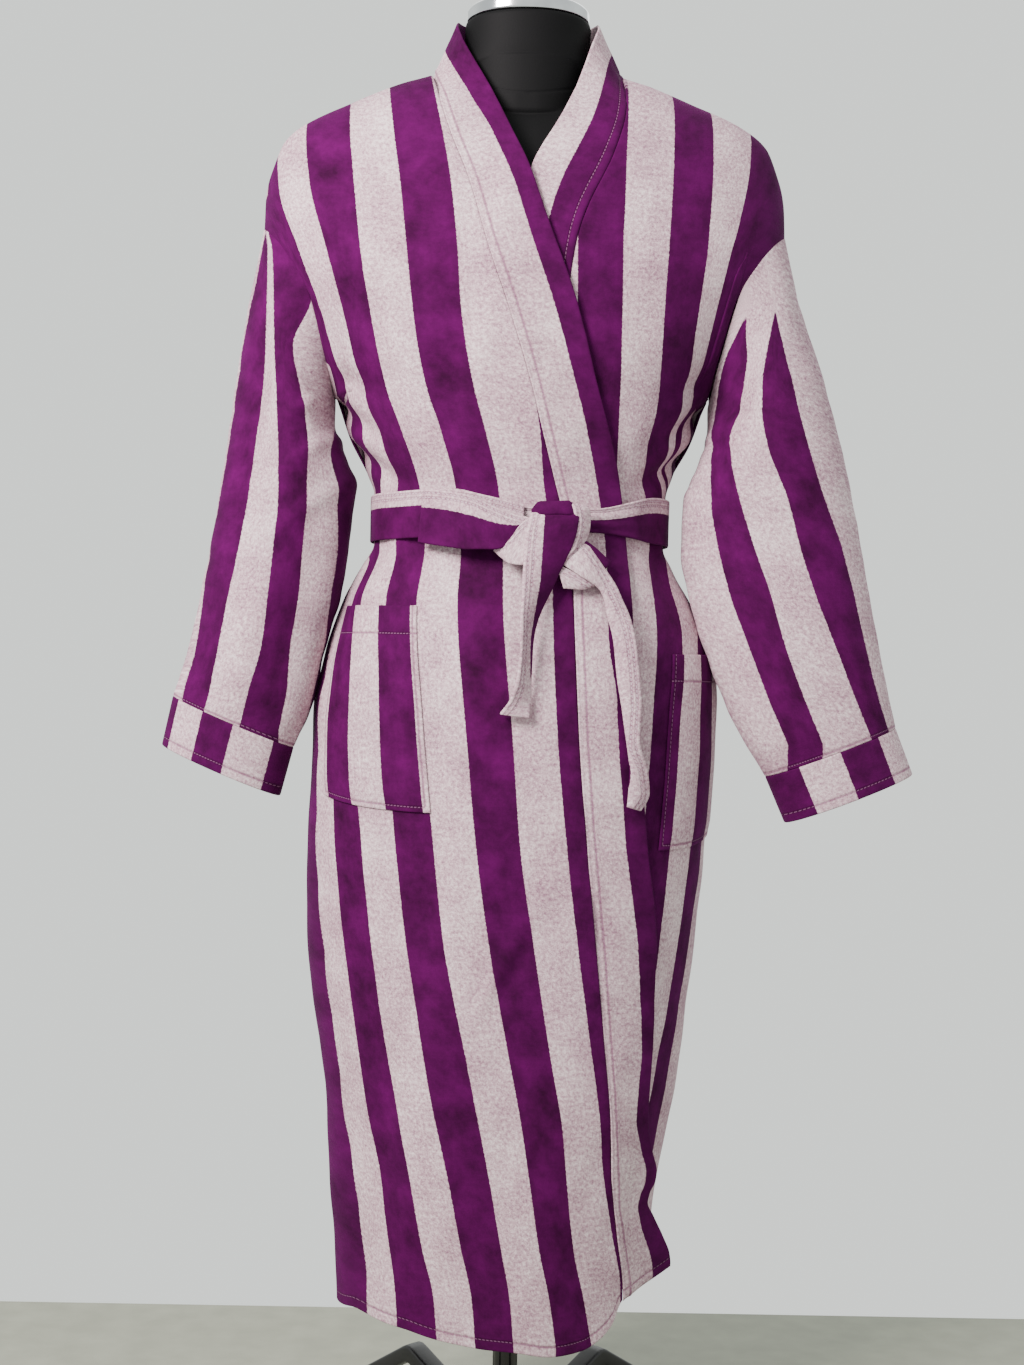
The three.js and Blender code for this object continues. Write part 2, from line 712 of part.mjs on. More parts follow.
function cuffGrid(name) {
  const end = CUFF_END[name];
  const side = name === "right" ? -1 : 1;
  const rows = SLEEVE[name];
  const start = (turn) => sleevePoint(rows, 1, turn);
  return [0, 0.5, 1].map((t) =>
    Array.from({ length: SLEEVE_COLUMNS }, (_, c) => {
      const turn = (360 * c) / SLEEVE_COLUMNS;
      const inwards = (1 - Math.cos(radians(turn))) / 2;
      const y = start(turn)[1];
      const low = [mix(end.outX, end.inX, inwards), y * 0.98, mix(end.outZ, end.inZ, inwards)];
      const p = mix3(start(turn), low, t);
      return [p[0] + side * 0.12, p[1], p[2] - SEAM * (1 - t)];
    }),
  );
}

// Patch pockets: between two threads of a front, from their bottom to their top edge.
const POCKET_HALF = 0.9;
const POCKETS = {
  right: { threads: UPPER, side: -1, from: -246, to: -90, bottom: 656, top: 852 },
  left: { threads: LOWER, side: 1, from: 221, to: 70, bottom: 622, top: 810 },
};

function pocket(name) {
  const { threads, side, from, to, bottom, top } = POCKETS[name];
  const columns = 7;
  const rows = 7;
  const points = grid(rows, columns, (share, row) => {
    const z = mix(bottom, top, row / rows);
    const at = mix(from, to, share);
    const sideAt = read(threads, "sideAt", z);
    const seamAt = read(threads, "seamAt", z);
    const { angle } = threadX(threads, side, (at - sideAt) / (seamAt - sideAt), z);
    const p = bodyPoint(angle, z);
    const folded = moveOut(p, drape(angle, z));
    const laid = side < 0 ? moveOut(folded, overlap(folded[0], z)) : folded;
    return moveOut(laid, WALL / 2 + SEAM + POCKET_HALF + 0.5);
  });
  return wall(points, 2 * POCKET_HALF);
}

// The belt round the waist, clear of every layer below it.
const BELT_COLUMNS = 56;
const BELT_CLEAR = WALL / 2 + SEAM + BELT_WALL / 2 + 0.5;
function beltPoint(angle, z) {
  const p = bodyPoint(angle, BELT_HEIGHT);
  const over = angle > -90 && angle < 90 ? LAYER * smooth((p[0] + 118) / 40) * smooth((128 - p[0]) / 24) : 0;
  const [x, y] = moveOut(p, BELT_CLEAR + over);
  return [x, y, z];
}

function beltWaist() {
  return wall(
    [-0.5, 0, 0.5].map((t) =>
      Array.from({ length: BELT_COLUMNS }, (_, c) => {
        const angle = (360 * c) / BELT_COLUMNS - 180;
        return beltPoint(angle, BELT_HEIGHT + t * BELT_WIDTH);
      }),
    ),
    BELT_WALL,
    true,
  );
}

// A strip of belt along a path: x and z of its middle, how far it stands off the robe, its width
// as it is folded, and its twist.
const TAILS = {
  a: table(
    "walk x z off width twist",
    [0, 37, 943, 32.2, 44, 4],
    [0.2, 29, 905, 27.5, 42, 22],
    [0.4, 18, 862, 23, 38, 44],
    [0.58, 12, 820, 21, 36, 62],
    [0.76, 8, 784, 21, 34, 60],
    [0.9, 1, 756, 18, 34, 48],
    [1, -5, 734, 16, 32, 30],
  ),
  b: table(
    "walk x z off width twist",
    [0, 66.5, 915.5, 18, 34, -30],
    [0.14, 81, 884, 13.4, 34, -32],
    [0.3, 94, 858, 11.9, 32, -36],
    [0.45, 104, 824, 13.3, 30, -52],
    [0.62, 109, 776, 13.3, 30, -58],
    [0.8, 114, 722, 12.3, 30, -54],
    [0.92, 118, 686, 10.9, 32, -40],
    [1, 114, 664, 9.9, 30, -34],
  ),
};

// The outermost surface of the robe at a place of its front.
function frontSurface(x, z) {
  const lifted = overlap(x, z);
  return depthAt(x, z, -1) - lifted;
}

function tailGrid(rows, steps) {
  return Array.from({ length: steps + 1 }, (_, r) => {
    const walk = r / steps;
    const value = (name) => read(rows, name, walk);
    const [x, z, twist] = [value("x"), value("z"), radians(value("twist"))];
    const y = frontSurface(x, z) - value("off");
    return [-0.5, 0, 0.5].map((t) => {
      const reach = t * value("width");
      return [x + reach * Math.cos(twist), y - reach * Math.sin(twist), z];
    });
  });
}

// The half bow: the belt goes out to the wearer's right, turns, and comes back.
const LOOP = { end: -95, start: 17.4, high: 945, low: 928, open: 12, seat: 15.6 };
function loopGrid() {
  const steps = 14;
  const top = frontSurface(-20, BELT_HEIGHT) - LOOP.seat;
  return Array.from({ length: steps + 1 }, (_, r) => {
    const t = r / steps;
    const round = Math.PI * (t - 0.5);
    const reach = Math.cos(round) ** 0.7;
    const x = mix(LOOP.start, LOOP.end, reach);
    const y = top - LOOP.open * Math.sin(round) * (0.35 + 0.65 * reach) + 0.06 * (x + 30);
    return [-0.5, 0, 0.5].map((w) => {
      const width = BELT_WIDTH * mix(0.86, 1, reach);
      return [x, y, mix(LOOP.low, LOOP.high, 1 - reach * 0.6) + w * width];
    });
  });
}

// The knot: a rounded body, fuller in the middle.
const KNOT = { x: 46, z: 941, half: 27, tall: 25, deep: 13, seat: 0.9 };
function knot() {
  const rings = 9;
  const sides = 16;
  const front = frontSurface(KNOT.x, KNOT.z) - BELT_WALL / 2 - BELT_CLEAR - KNOT.seat - KNOT.deep;
  const body = [];
  for (let r = 0; r <= rings; r++) {
    const lift = -86 + (172 * r) / rings;
    const ring = [];
    for (let c = 0; c < sides; c++) {
      const turn = radians((360 * c) / sides);
      const ridge = 1 + 0.08 * Math.cos(3 * turn + r);
      const wide = Math.cos(radians(lift)) * ridge;
      ring.push([
        KNOT.x + KNOT.half * Math.cos(turn) * wide,
        front + KNOT.deep * Math.sin(radians(lift)),
        KNOT.z + KNOT.tall * Math.sin(turn) * wide,
      ]);
    }
    body.push(ring);
  }
  return loft(body);
}

// The dress form: plan sections of the torso and neck, with a general figure.
const FORM = table(
  "z half front back",
  [700, 150, 96, 104],
  [712, 160, 102, 110],
  [745, 167, 106, 114],
  [785, 164, 103, 112],
  [830, 152, 95, 102],
  [880, 138, 87, 88],
  [920, 130, 83, 78],
  [950, 129, 83, 77],
  [1000, 136, 90, 82],
  [1060, 146, 103, 90],
  [1120, 152, 111, 95],
  [1180, 158, 104, 96],
  [1230, 166, 92, 90],
  [1275, 172, 80, 78],
  [1305, 175, 68, 68],
  [1325, 174, 58, 59],
  [1340, 173, 48, 50],
  [1352, 163.4, 38, 42],
  [1362, 143.6, 33, 38],
  [1370, 111, 32, 40],
  [1377, 86, 38, 46],
  [1384, 74, 48, 54],
  [1392, 68, 55, 59],
);
const NECK = table(
  "z half front back",
  [1392.6, 67, 56, 60],
  [1406, 63, 55, 58],
  [1418, 62.5, 55, 57],
  [1430, 63, 55.5, 57.5],
  [1436, 62.5, 55, 57],
);
const CAP = table(
  "z half front back",
  [1436.6, 61, 54, 56],
  [1446, 61, 54, 56],
  [1450, 58, 51, 53],
  [1456, 40, 36, 38],
  [1461, 16, 15, 15],
);
// The neck's column goes on down into the top of the torso, from this half width and depth.
const NECK_ROOT = { half: 64, deep: 55, low: 1290, high: 1340, top: 1392 };
const FORM_SIDES = 28;

function formRings(source, heights, sides) {
  return heights.map((z) =>
    Array.from({ length: sides }, (_, c) => {
      const turn = radians((360 * c) / sides);
      const power = 2 / 2.15;
      const across = Math.sign(Math.cos(turn)) * Math.abs(Math.cos(turn)) ** power;
      const deep = Math.sign(Math.sin(turn)) * Math.abs(Math.sin(turn)) ** power;
      const x = read(source, "half", z) * across;
      const y = read(source, deep < 0 ? "front" : "back", z) * deep;
      const rounded = clamp(1 - Math.abs(x / NECK_ROOT.half) ** 2.15, 0, 1) ** (1 / 2.15);
      const grown = smooth((z - NECK_ROOT.low) / (NECK_ROOT.high - NECK_ROOT.low));
      const root = z < NECK_ROOT.top ? NECK_ROOT.deep * rounded * grown : 0;
      return [x, Math.abs(y) < root ? Math.sign(deep) * root : y, z];
    }),
  );
}

// The stand: a pole, a collar under the torso, and a hub with four bent legs and their feet.
const POLE = { radius: 12.5, bottom: 52.3, top: 699.7 };
const POLE_COLLAR = { inner: 12.8, outer: 20, bottom: 640, top: 672 };
const HUB = { radius: 46, height: 52 };
const LEGS = 4;
const LEG = {
  reach: 265,
  root: 34, // height of its middle at the hub
  peak: 88, // top of its ridge
  peakAt: 135,
  level: 34, // length of the level end over the foot
  wide: 26,
  thick: 20,
  narrow: 0.72, // share of its width and thickness that is left at the end
  slim: 0.8,
};
const FOOT = { radius: 19, height: 12 };

function leg(turn) {
  const start = HUB.radius + SEAM;
  const bend = LEG.reach - LEG.level;
  const rings = [start, 90, LEG.peakAt, 183, bend, LEG.reach].map((r) => {
    const out = (r - start) / (LEG.reach - start);
    const half = (LEG.thick * mix(1, LEG.slim, out)) / 2;
    const wide = (LEG.wide * mix(1, LEG.narrow, out)) / 2;
    const peak = LEG.peak - LEG.thick / 2;
    const foot = FOOT.height + SEAM + half;
    const rise = mix(LEG.root, peak, (r - start) / (LEG.peakAt - start));
    const fall = mix(peak, foot, (r - LEG.peakAt) / (bend - LEG.peakAt));
    const climb = Math.max(Math.min(rise, fall), foot);
    const corners = [[-1, -1], [1, -1], [1, 1], [-1, 1]];
    return corners.map(([a, b]) => {
      const x = r * Math.cos(turn) - a * wide * Math.sin(turn);
      const y = r * Math.sin(turn) + a * wide * Math.cos(turn);
      return [x, y, climb + b * half];
    });
  });
  return loft(rings);
}

const COLORS = {
  velvet: new THREE.MeshStandardMaterial({ color: "#6b2468", roughness: 0.95 }),
  light: new THREE.MeshStandardMaterial({ color: "#cdc6c8", roughness: 0.95 }),
  form: new THREE.MeshStandardMaterial({ color: "#121214", roughness: 0.6 }),
  metal: new THREE.MeshStandardMaterial({ color: "#c9cccf", roughness: 0.25, metalness: 1 }),
  base: new THREE.MeshStandardMaterial({ color: "#18181a", roughness: 0.5 }),
};

const robe = new THREE.Group();
const stand = new THREE.Group();

function add(group, name, geometry, material, place = [0, 0, 0]) {
  const mesh = new THREE.Mesh(geometry, material);
  mesh.name = name;
  mesh.position.set(...place);
  group.add(mesh);
}

function ringBody(inner, outer, height) {
  const profile = [[inner, 0], [outer, 0], [outer, height], [inner, height], [inner, 0]];
  const geometry = new THREE.LatheGeometry(profile.map(([r, h]) => new THREE.Vector2(r, h)), 32);
  return geometry.rotateX(Math.PI / 2);
}

function rod(radius, height, sides = 32) {
  const upright = new THREE.CylinderGeometry(radius, radius, height, sides).rotateX(Math.PI / 2);
  return upright.translate(0, 0, height / 2);
}

const upperLift = (x, z) => overlap(x, z) + 0.2;
const lowerLift = () => 0;

add(robe, "back_panel", backPanel(), COLORS.velvet);
add(robe, "front_right", frontPanel(UPPER, -1), COLORS.velvet);
add(robe, "front_left", frontPanel(LOWER, 1), COLORS.velvet);
add(robe, "band_right", band(UPPER, UPPER_EDGE, -1, upperLift), COLORS.light);
add(robe, "band_left", band(LOWER, LOWER_EDGE, 1, lowerLift), COLORS.light);
for (const name of ["right", "left"]) {
  add(robe, "sleeve_" + name, wall(sleeveGrid(name), WALL, true), COLORS.velvet);
  add(robe, "cuff_" + name, wall(cuffGrid(name), WALL, true), COLORS.light);
  add(robe, "pocket_" + name, pocket(name), COLORS.light);
}
add(robe, "belt_waist", beltWaist(), COLORS.velvet);
add(robe, "belt_knot", knot(), COLORS.velvet);
add(robe, "belt_loop", wall(loopGrid(), BELT_WALL), COLORS.light);
add(robe, "belt_tail_a", wall(tailGrid(TAILS.a, 12), BELT_WALL), COLORS.light);
add(robe, "belt_tail_b", wall(tailGrid(TAILS.b, 14), BELT_WALL), COLORS.light);

add(stand, "form_torso", loft(formRings(FORM, FORM.key, FORM_SIDES)), COLORS.form);
add(stand, "form_neck", loft(formRings(NECK, NECK.key, FORM_SIDES)), COLORS.form);
add(stand, "neck_cap", loft(formRings(CAP, CAP.key, FORM_SIDES)), COLORS.metal);
add(stand, "pole", rod(POLE.radius, POLE.top - POLE.bottom), COLORS.base, [0, 0, POLE.bottom]);
const collar = ringBody(POLE_COLLAR.inner, POLE_COLLAR.outer, POLE_COLLAR.top - POLE_COLLAR.bottom);
add(stand, "pole_collar", collar, COLORS.base, [0, 0, POLE_COLLAR.bottom]);
add(stand, "base_hub", rod(HUB.radius, HUB.height, 48), COLORS.base);
for (let i = 0; i < LEGS; i++) {
  const turn = radians(45 + (360 * i) / LEGS);
  add(stand, "base_leg_" + (i + 1), leg(turn), COLORS.base);
  const reach = LEG.reach - FOOT.radius * 0.6;
  add(stand, "base_foot_" + (i + 1), rod(FOOT.radius, FOOT.height, 24), COLORS.base, [
    reach * Math.cos(turn),
    reach * Math.sin(turn),
    0,
  ]);
}

const part = new THREE.Group();
part.add(robe, stand);
export default part;
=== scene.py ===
"""A long kimono robe of striped velvet towelling, belted, on a limbless dress form.

Lengths are in millimetres until a mesh is made. +Z is up, the front of the robe faces -Y and the
wearer's right side is at -X. A surface is worked out as an array of rows and columns of points.
"""

import bpy
import numpy as np
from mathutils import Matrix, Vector


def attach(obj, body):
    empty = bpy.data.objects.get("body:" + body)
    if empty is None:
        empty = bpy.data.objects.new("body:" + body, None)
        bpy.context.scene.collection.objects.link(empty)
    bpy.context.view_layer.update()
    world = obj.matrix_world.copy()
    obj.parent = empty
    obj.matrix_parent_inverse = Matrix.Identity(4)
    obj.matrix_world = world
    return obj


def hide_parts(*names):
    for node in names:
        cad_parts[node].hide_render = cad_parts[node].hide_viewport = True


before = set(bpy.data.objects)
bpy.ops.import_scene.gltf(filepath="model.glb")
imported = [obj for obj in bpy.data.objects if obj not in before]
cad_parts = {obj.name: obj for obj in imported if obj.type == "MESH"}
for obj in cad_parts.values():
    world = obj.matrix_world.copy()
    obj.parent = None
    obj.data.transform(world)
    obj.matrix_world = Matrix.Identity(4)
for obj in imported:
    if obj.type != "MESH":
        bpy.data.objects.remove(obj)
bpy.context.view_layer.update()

# Cloth, seams, rows of stitches and the lay of the robe
WALL = 2.0
BAND_WALL = 2.4
BELT_WALL = 3.0
LAYER = 6.0
BELT_WIDTH = 46.0
BELT_HEIGHT = 940.0
UNDERARM = 1059.0
CHEST = 1150.0
NECK_POINT = 95.0
BACK_NECK_RISE = 40.0
PLAN_ROUND = 2.3
TIP_X = 258.5
TIP_Z = 1228.0
STRIPE = 91.0
DARK = 45.0
HEM_LEVEL = 155.0
HEM_ROW = 10.0
UNDER_HEM = 7.0
BAND_WIDTH = 62.0
BAND_ROW = 8.5
NECK_REACH = 3.0
SLEEVE_LENGTH = 510.0
CUFF_DEPTH = 51.0
CUFF_ROW = 42.0
BELT_ROWS = (3.5, 8.0)
NO_MARK = -99.0


def table(names, *rows):
    """Named columns. The first one is the place that the others are read by."""
    return dict(zip(names.split(), np.array(rows, float).T))


def read(source, name, at):
    """A column at a place: a cubic between rows whose slope at a row is the harmonic mean of the
    two beside it, or 0 where they turn, so that it never overshoots."""
    places = next(iter(source.values()))
    values = source[name]
    steps = np.diff(places)
    slopes = np.diff(values) / steps
    both = slopes[:-1] * slopes[1:]
    total = slopes[:-1] + slopes[1:]
    inner = np.where(both > 0, 2 * both / np.where(both > 0, total, 1), 0)
    tangents = np.concatenate([slopes[:1], inner, slopes[-1:]])
    at = np.clip(at, places[0], places[-1])
    i = np.clip(np.searchsorted(places, at, side="right") - 1, 0, len(steps) - 1)
    t = (at - places[i]) / steps[i]
    lean = (1 - t) * tangents[i] - t * tangents[i + 1]
    straight = values[i] + (values[i + 1] - values[i]) * t * t * (3 - 2 * t)
    return straight + steps[i] * t * (1 - t) * lean


def smooth(v):
    """0 up to 0, 1 from 1, and 3 v squared - 2 v cubed between."""
    v = np.clip(v, 0, 1)
    return v * v * (3 - 2 * v)


def mix(a, b, t):
    """a where t is 0, b where t is 1, straight between."""
    return a + (b - a) * t


def bump(v, middle, width):
    """e to the power of minus the square of the distance from the middle in widths."""
    return np.exp(-(((v - middle) / width) ** 2))


def sine(degrees):
    """Sine of an angle in degrees."""
    return np.sin(np.radians(degrees))


def half_round(degrees):
    """0 at 0 degrees, 1 at 180 and back: (1 - cosine) / 2."""
    return (1 - np.cos(np.radians(degrees))) / 2


def xyz(x, y, z):
    """Points from coordinates of any shapes that go together."""
    return np.stack(np.broadcast_arrays(x, y, z), -1)


def round_angles(count):
    """Angles in radians, evenly round a circle."""
    return np.linspace(0, 2 * np.pi, count, endpoint=False)


def stripe_depth(place):
    """How far a place lies inside a dark stripe, below 0 in a pale one: half a dark stripe less
    the distance from the middle of the nearest dark stripe."""
    return DARK / 2 - np.abs((place - DARK / 2 + STRIPE / 2) % STRIPE - STRIPE / 2)


def inside(value, *stripes):
    """How far a value lies inside the nearest of some stripes, each given by its two edges, less
    0.6 mm, so that a stripe whose edges meet ends there."""
    return np.maximum.reduce([np.minimum(value - a, b - value) for a, b in stripes]) - 0.6


def across(value, knots, marks):
    """Straight lines from knot to knot, run on past both ends. Knots and marks may be arrays."""
    result = 0.0
    for i in range(len(knots) - 1):
        length = np.maximum(knots[i + 1] - knots[i], 1e-6)
        line = marks[i] + (marks[i + 1] - marks[i]) * (value - knots[i]) / length
        result = line if i == 0 else np.where(value >= knots[i], line, result)
    return result


def waves(a, b, length, seed, count=9):
    """Soft unevenness over a surface, about -1 to 1: the mean of sines that run in seeded
    directions, each with a wavelength of 0.7 to 1.5 times the length, times 1.8."""
    dice = np.random.default_rng(seed)
    total = 0.0
    for turn, size, start in zip(*dice.random((3, count))):
        turn = 2 * np.pi * turn
        way = a * np.cos(turn) + b * np.sin(turn)
        total = total + np.sin(2 * np.pi * (way / (length * (0.7 + 0.8 * size)) + start))
    return 1.8 * total / count


# Plan sections of the worn robe, from the hem up
BODY = table(
    "z left right front back lens",
    [150, -167, 136, 106, 142, 0.64],
    [200, -169, 139, 108, 144, 0.63],
    [300, -178, 150, 112, 148, 0.6],
    [380, -184, 164, 115, 150, 0.57],
    [460, -197, 173, 117, 150, 0.55],
    [530, -204, 181, 119, 150, 0.53],
    [620, -205, 190, 121, 148, 0.5],
    [680, -203, 194, 122, 145, 0.5],
    [760, -201, 196, 122, 138, 0.5],
    [805, -191, 192, 118, 130, 0.5],
    [860, -173, 172, 110, 114, 0.5],
    [895, -155, 154, 101, 98, 0.5],
    [915, -144.5, 144.5, 96, 88, 0.5],
    [965, -144.5, 144.5, 96, 88, 0.5],
    [985, -152, 150, 100, 93, 0.5],
    [1020, -170, 168, 108, 102, 0.5],
    [1060, -184, 182, 115, 108, 0.5],
    [1110, -212, 212, 121, 112, 0.5],
    [1170, -245, 245, 121, 114, 0.5],
    [1230, -259, 259, 118, 112, 0.5],
    [1460, -259, 259, 110, 106, 0.5],
)
SHOULDER = table(
    "x z",
    [0, 1396], [75, 1391], [95, 1382], [122, 1374], [173, 1354], [215, 1335], [238, 1317],
    [251, 1287], [257, 1262], [258.5, 1228],
)
ARMHOLE = table(
    "z x",
    [UNDERARM, 184], [1102, 193], [1161, 209], [1190, 226], [1212, 243], [TIP_Z, TIP_X],
)
# Half width on the shoulder line, from the armhole (0) to the neck (1)
SHOULDER_WALK = table(
    "share x",
    [0, TIP_X], [0.16, 256], [0.28, 248], [0.38, 235], [0.5, 212], [1, NECK_POINT],
)

# Lengthwise threads of the two fronts: x of the collar seam and of every second stripe edge,
# and how far along the cloth the seam and the side lie from thread s0
UPPER = table(
    "z seam s0 s1 s2 s3 seamAt sideAt",
    [150, 109, 79, 7, -63, -130, 50, -322],
    [197, 108, 70.5, 3, -67, -133, 50, -319],
    [247, 102, 60, -6, -79, -140, 51.5, -316],
    [313, 95, 53, -18, -92, -150, 57, -311],
    [363, 93.5, 48, -28, -104, -160, 60, -308],
    [431, 87, 36, -42, -118, -169, 63, -303],
    [530, 77, 20, -63, -134, -182, 66.5, -296],
    [621, 67.5, 6, -75, -145, -190, 67, -290],
    [728, 58, -3, -87, -153, -192, 69, -283],
    [855, 51, -14, -97, -152, -170, 66, -276],
    [908, 48, -15, -91, -138, -150, 65, -273.5],
    [963, 34, -20, -96, -136, -146, 59, -273.5],
    [1020, 19, -34, -114, -158, -171, 48, -273.5],
    [1059, 9, -45, -130, -172, -184, 45, -273.5],
    [1130, -13, -58, -146, -192, -204, 41, -262],
    [1191, -34, -63, -156, -216, -232, 31, -256],
    [1257, -54, -71, -164, -240, -259, 17, -252],
    [1306, -73, -80, -170, -246, -259, 8, -251],
    [1382, -95, -96, -176, -250, -259, 0, -251],
)
LOWER = table(
    "z seam s0 s1 s2 side seamAt sideAt",
    [150, -38, 20, 85, 120, 130, -64, 322],
    [300, -15, 42, 104, 138, 124, -68, 312],
    [409, 2, 62, 121, 155, 120, -72, 305],
    [500, 15, 74, 137, 168, 118, -73, 298],
    [626, 30, 88, 148, 184, 115, -75, 290],
    [724, 36, 95, 155, 189, 112, -76, 283],
    [825, 38, 100, 160, 184, 106, -76, 276],
    [911, 34, 99, 143, 152, 98, -76, 273.5],
    [978, 30, 92, 139, 146, 94, -70, 273.5],
    [1059, 35, 93, 158, 176, 90, -62, 273.5],
    [1140, 41, 93, 168, 200, 90, -55, 262],
    [1198, 49, 93, 175, 218, 90, -46, 256],
    [1223, 56, 94, 177, 228, 90, -40, 254],
    [1287, 84, 96, 181, 244, 90, -12, 251],
    [1331, 95.5, 98, 182, 248, 90, -2, 251],
    [1373, 98, 99, 180, 250, 90, 0, 251],
    [1382, 95, 96, 177, 250, 90, 0, 251],
)
UPPER_EDGE = table(
    "z x",
    [150, 156], [206, 156], [220, 154.5], [240, 147], [262, 138], [276, 132], [286, 134],
    [296, 139], [306, 140], [330, 135], [363, 130.5], [400, 131], [434, 133], [480, 133],
    [527, 134], [623, 124], [728, 114], [855, 106], [918, 99], [954, 95], [995, 88], [1064, 69],
    [1140, 49], [1215, 22], [1270, 3], [1304, -12], [1358, -36],
)
LOWER_EDGE = table(
    "z x",
    [150, -98], [300, -78], [409, -60], [500, -46], [626, -32], [728, -26], [855, -22], [908, -27],
    [978, -30], [1066, -24], [1140, -14], [1180, -9], [1223, -5], [1269, 5], [1327, 34], [1358, 47],
)
FRONT_HEM = table(
    "x z",
    [-175, 160], [-162, 163], [-145, 168], [-128, 167], [-94, 164], [-63, 157], [-27, 151],
    [7, 148], [45, 142], [70, 144], [84, 150], [99, 163], [108, 183], [125, 199], [140, 205],
    [159, 206],
)


def section(z):
    """Middle and half width of the plan section."""
    left = read(BODY, "left", z)
    right = read(BODY, "right", z)
    return (left + right) / 2, (right - left) / 2


def depth_at(x, z, side):
    """y of the robe at a place: side * depth * (1 - across ** 2.3) ** lens * roll, where across
    is the share of the half width and roll turns the chest over into the shoulder line."""
    middle, half = section(z)
    share = np.clip(np.abs((x - middle) / half), 0, 1)
    out = np.abs(x)
    behind_neck = np.where(side > 0, BACK_NECK_RISE * smooth((130 - out) / 90), 0)
    ridge = read(SHOULDER, "z", out) + behind_neck
    up = np.clip((z - CHEST) / (ridge - CHEST), 0, 1)
    roll = (1 - up**2.2) ** 0.5
    lens = np.where(side < 0, read(BODY, "lens", z), 0.5)
    depth = np.where(side < 0, read(BODY, "front", z), read(BODY, "back", z))
    return side * depth * (1 - share**PLAN_ROUND) ** lens * roll


def body_point(angle, z):
    """The robe's surface: angle 0 is the front, 90 the wearer's left side, 180 the back."""
    middle, half = section(z)
    x = middle + half * sine(angle)
    side = np.where(np.abs(angle) <= 90, -1, 1)
    return xyz(x, depth_at(x, z, side), z)


def angle_of(x, z):
    """The angle of a place of the front."""
    middle, half = section(z)
    return np.degrees(np.arcsin(np.clip((x - middle) / half, -1, 1)))


def overlap(x, z):
    """How far the upper front stands over the lower one."""
    edge = read(LOWER_EDGE, "x", z)
    return LAYER * smooth((x - edge + 52) / 44) * smooth((1345 - z) / 60)


def drape(angle, z):
    """How far the cloth sinks, below 0: by 8 mm in three slanting folds at the sides under the arms,
    each a bump of the height plus 0.9 mm for each degree towards the front or the back, and by up
    to 3.2 mm in the gathers that the belt makes, 14 of them round the waist."""
    side = smooth((np.abs(angle) - 38) / 30) * smooth((150 - np.abs(angle)) / 30)
    slant = z + 0.9 * (90 - np.abs(angle))
    folds = bump(slant, 1010, 13) + bump(slant, 1052, 14) + 0.8 * bump(slant, 1096, 16)
    gathers = bump(z, 885, 45) * (0.5 - 0.5 * np.cos(np.radians(angle * 14 + 40)))
    return -8 * side * folds - 3.2 * gathers


BACK_FOLDS = 6
BACK_FOLD_DEPTH = table(
    "z depth",
    [150, 15], [400, 14], [700, 11], [860, 7], [918, 3], [962, 3], [1010, 6], [1100, 5], [1190, 0],
)


def back_fold(share, z):
    """Upright folds of the back: depth * (1 + cos(6 turns * share)) / 2, faded at the sides."""
    fade = smooth(share / 0.1) * smooth((1 - share) / 0.1)
    wave = 0.5 + 0.5 * np.cos(2 * np.pi * BACK_FOLDS * share)
    return -read(BACK_FOLD_DEPTH, "depth", z) * fade * wave


def move_out(points, amount):
    """Moves points of the body along the level normal of its section, taken as an ellipse: x over
    the half width squared and y over the depth squared, made one long."""
    x, y, z = np.moveaxis(points, -1, 0)
    middle, half = section(z)
    depth = np.where(y < 0, read(BODY, "front", z), read(BODY, "back", z))
    nx = (x - middle) / half**2
    ny = y / depth**2
    size = np.maximum(np.hypot(nx, ny), 1e-9)
    return xyz(x + amount * nx / size, y + amount * ny / size, z)


def thread_lines(threads, side, z):
    """Angles of a front's lengthwise threads at a height, and their places along the cloth."""
    if side < 0:
        names = ["s3", "s2", "s1", "s0", "seam"]
        places = [-3 * STRIPE, -2 * STRIPE, -STRIPE, 0 * z, read(threads, "seamAt", z)]
        angles = [angle_of(read(threads, name, z), z) for name in names]
        return [-90 + 0 * z] + angles, [read(threads, "sideAt", z)] + places
    names = ["seam", "s0", "s1", "s2"]
    places = [read(threads, "seamAt", z), 0 * z, STRIPE, 2 * STRIPE]
    angles = [angle_of(read(threads, name, z), z) for name in names]
    return angles + [read(threads, "side", z)], places + [read(threads, "sideAt", z)]


def edge_spaced(length, step, fine=(0, 0.35, 0.9, 1.7, 3)):
    """Shares from 0 to 1 along a length, a step apart, and closer by each end for the fold."""
    count = max(2, int(round((length - 2 * fine[-1]) / step)))
    middle = np.linspace(fine[-1], length - fine[-1], count + 1)
    ends = np.array(fine[:-1])
    return np.concatenate([ends, middle, length - ends[::-1]]) / length


def hem_at(x, y):
    """Height of the hem under the lower front, 7 mm above the upper one's and up to 24 mm more
    at the left side, and under the back, 158 + 0.0008 x squared. They pass into each other round
    the sides."""
    front = read(FRONT_HEM, "z", x) + UNDER_HEM + 24 * smooth((x - 100) / 40)
    back = 158 + 0.0008 * x * x
    return mix(front, back, smooth((y + 60) / 120))


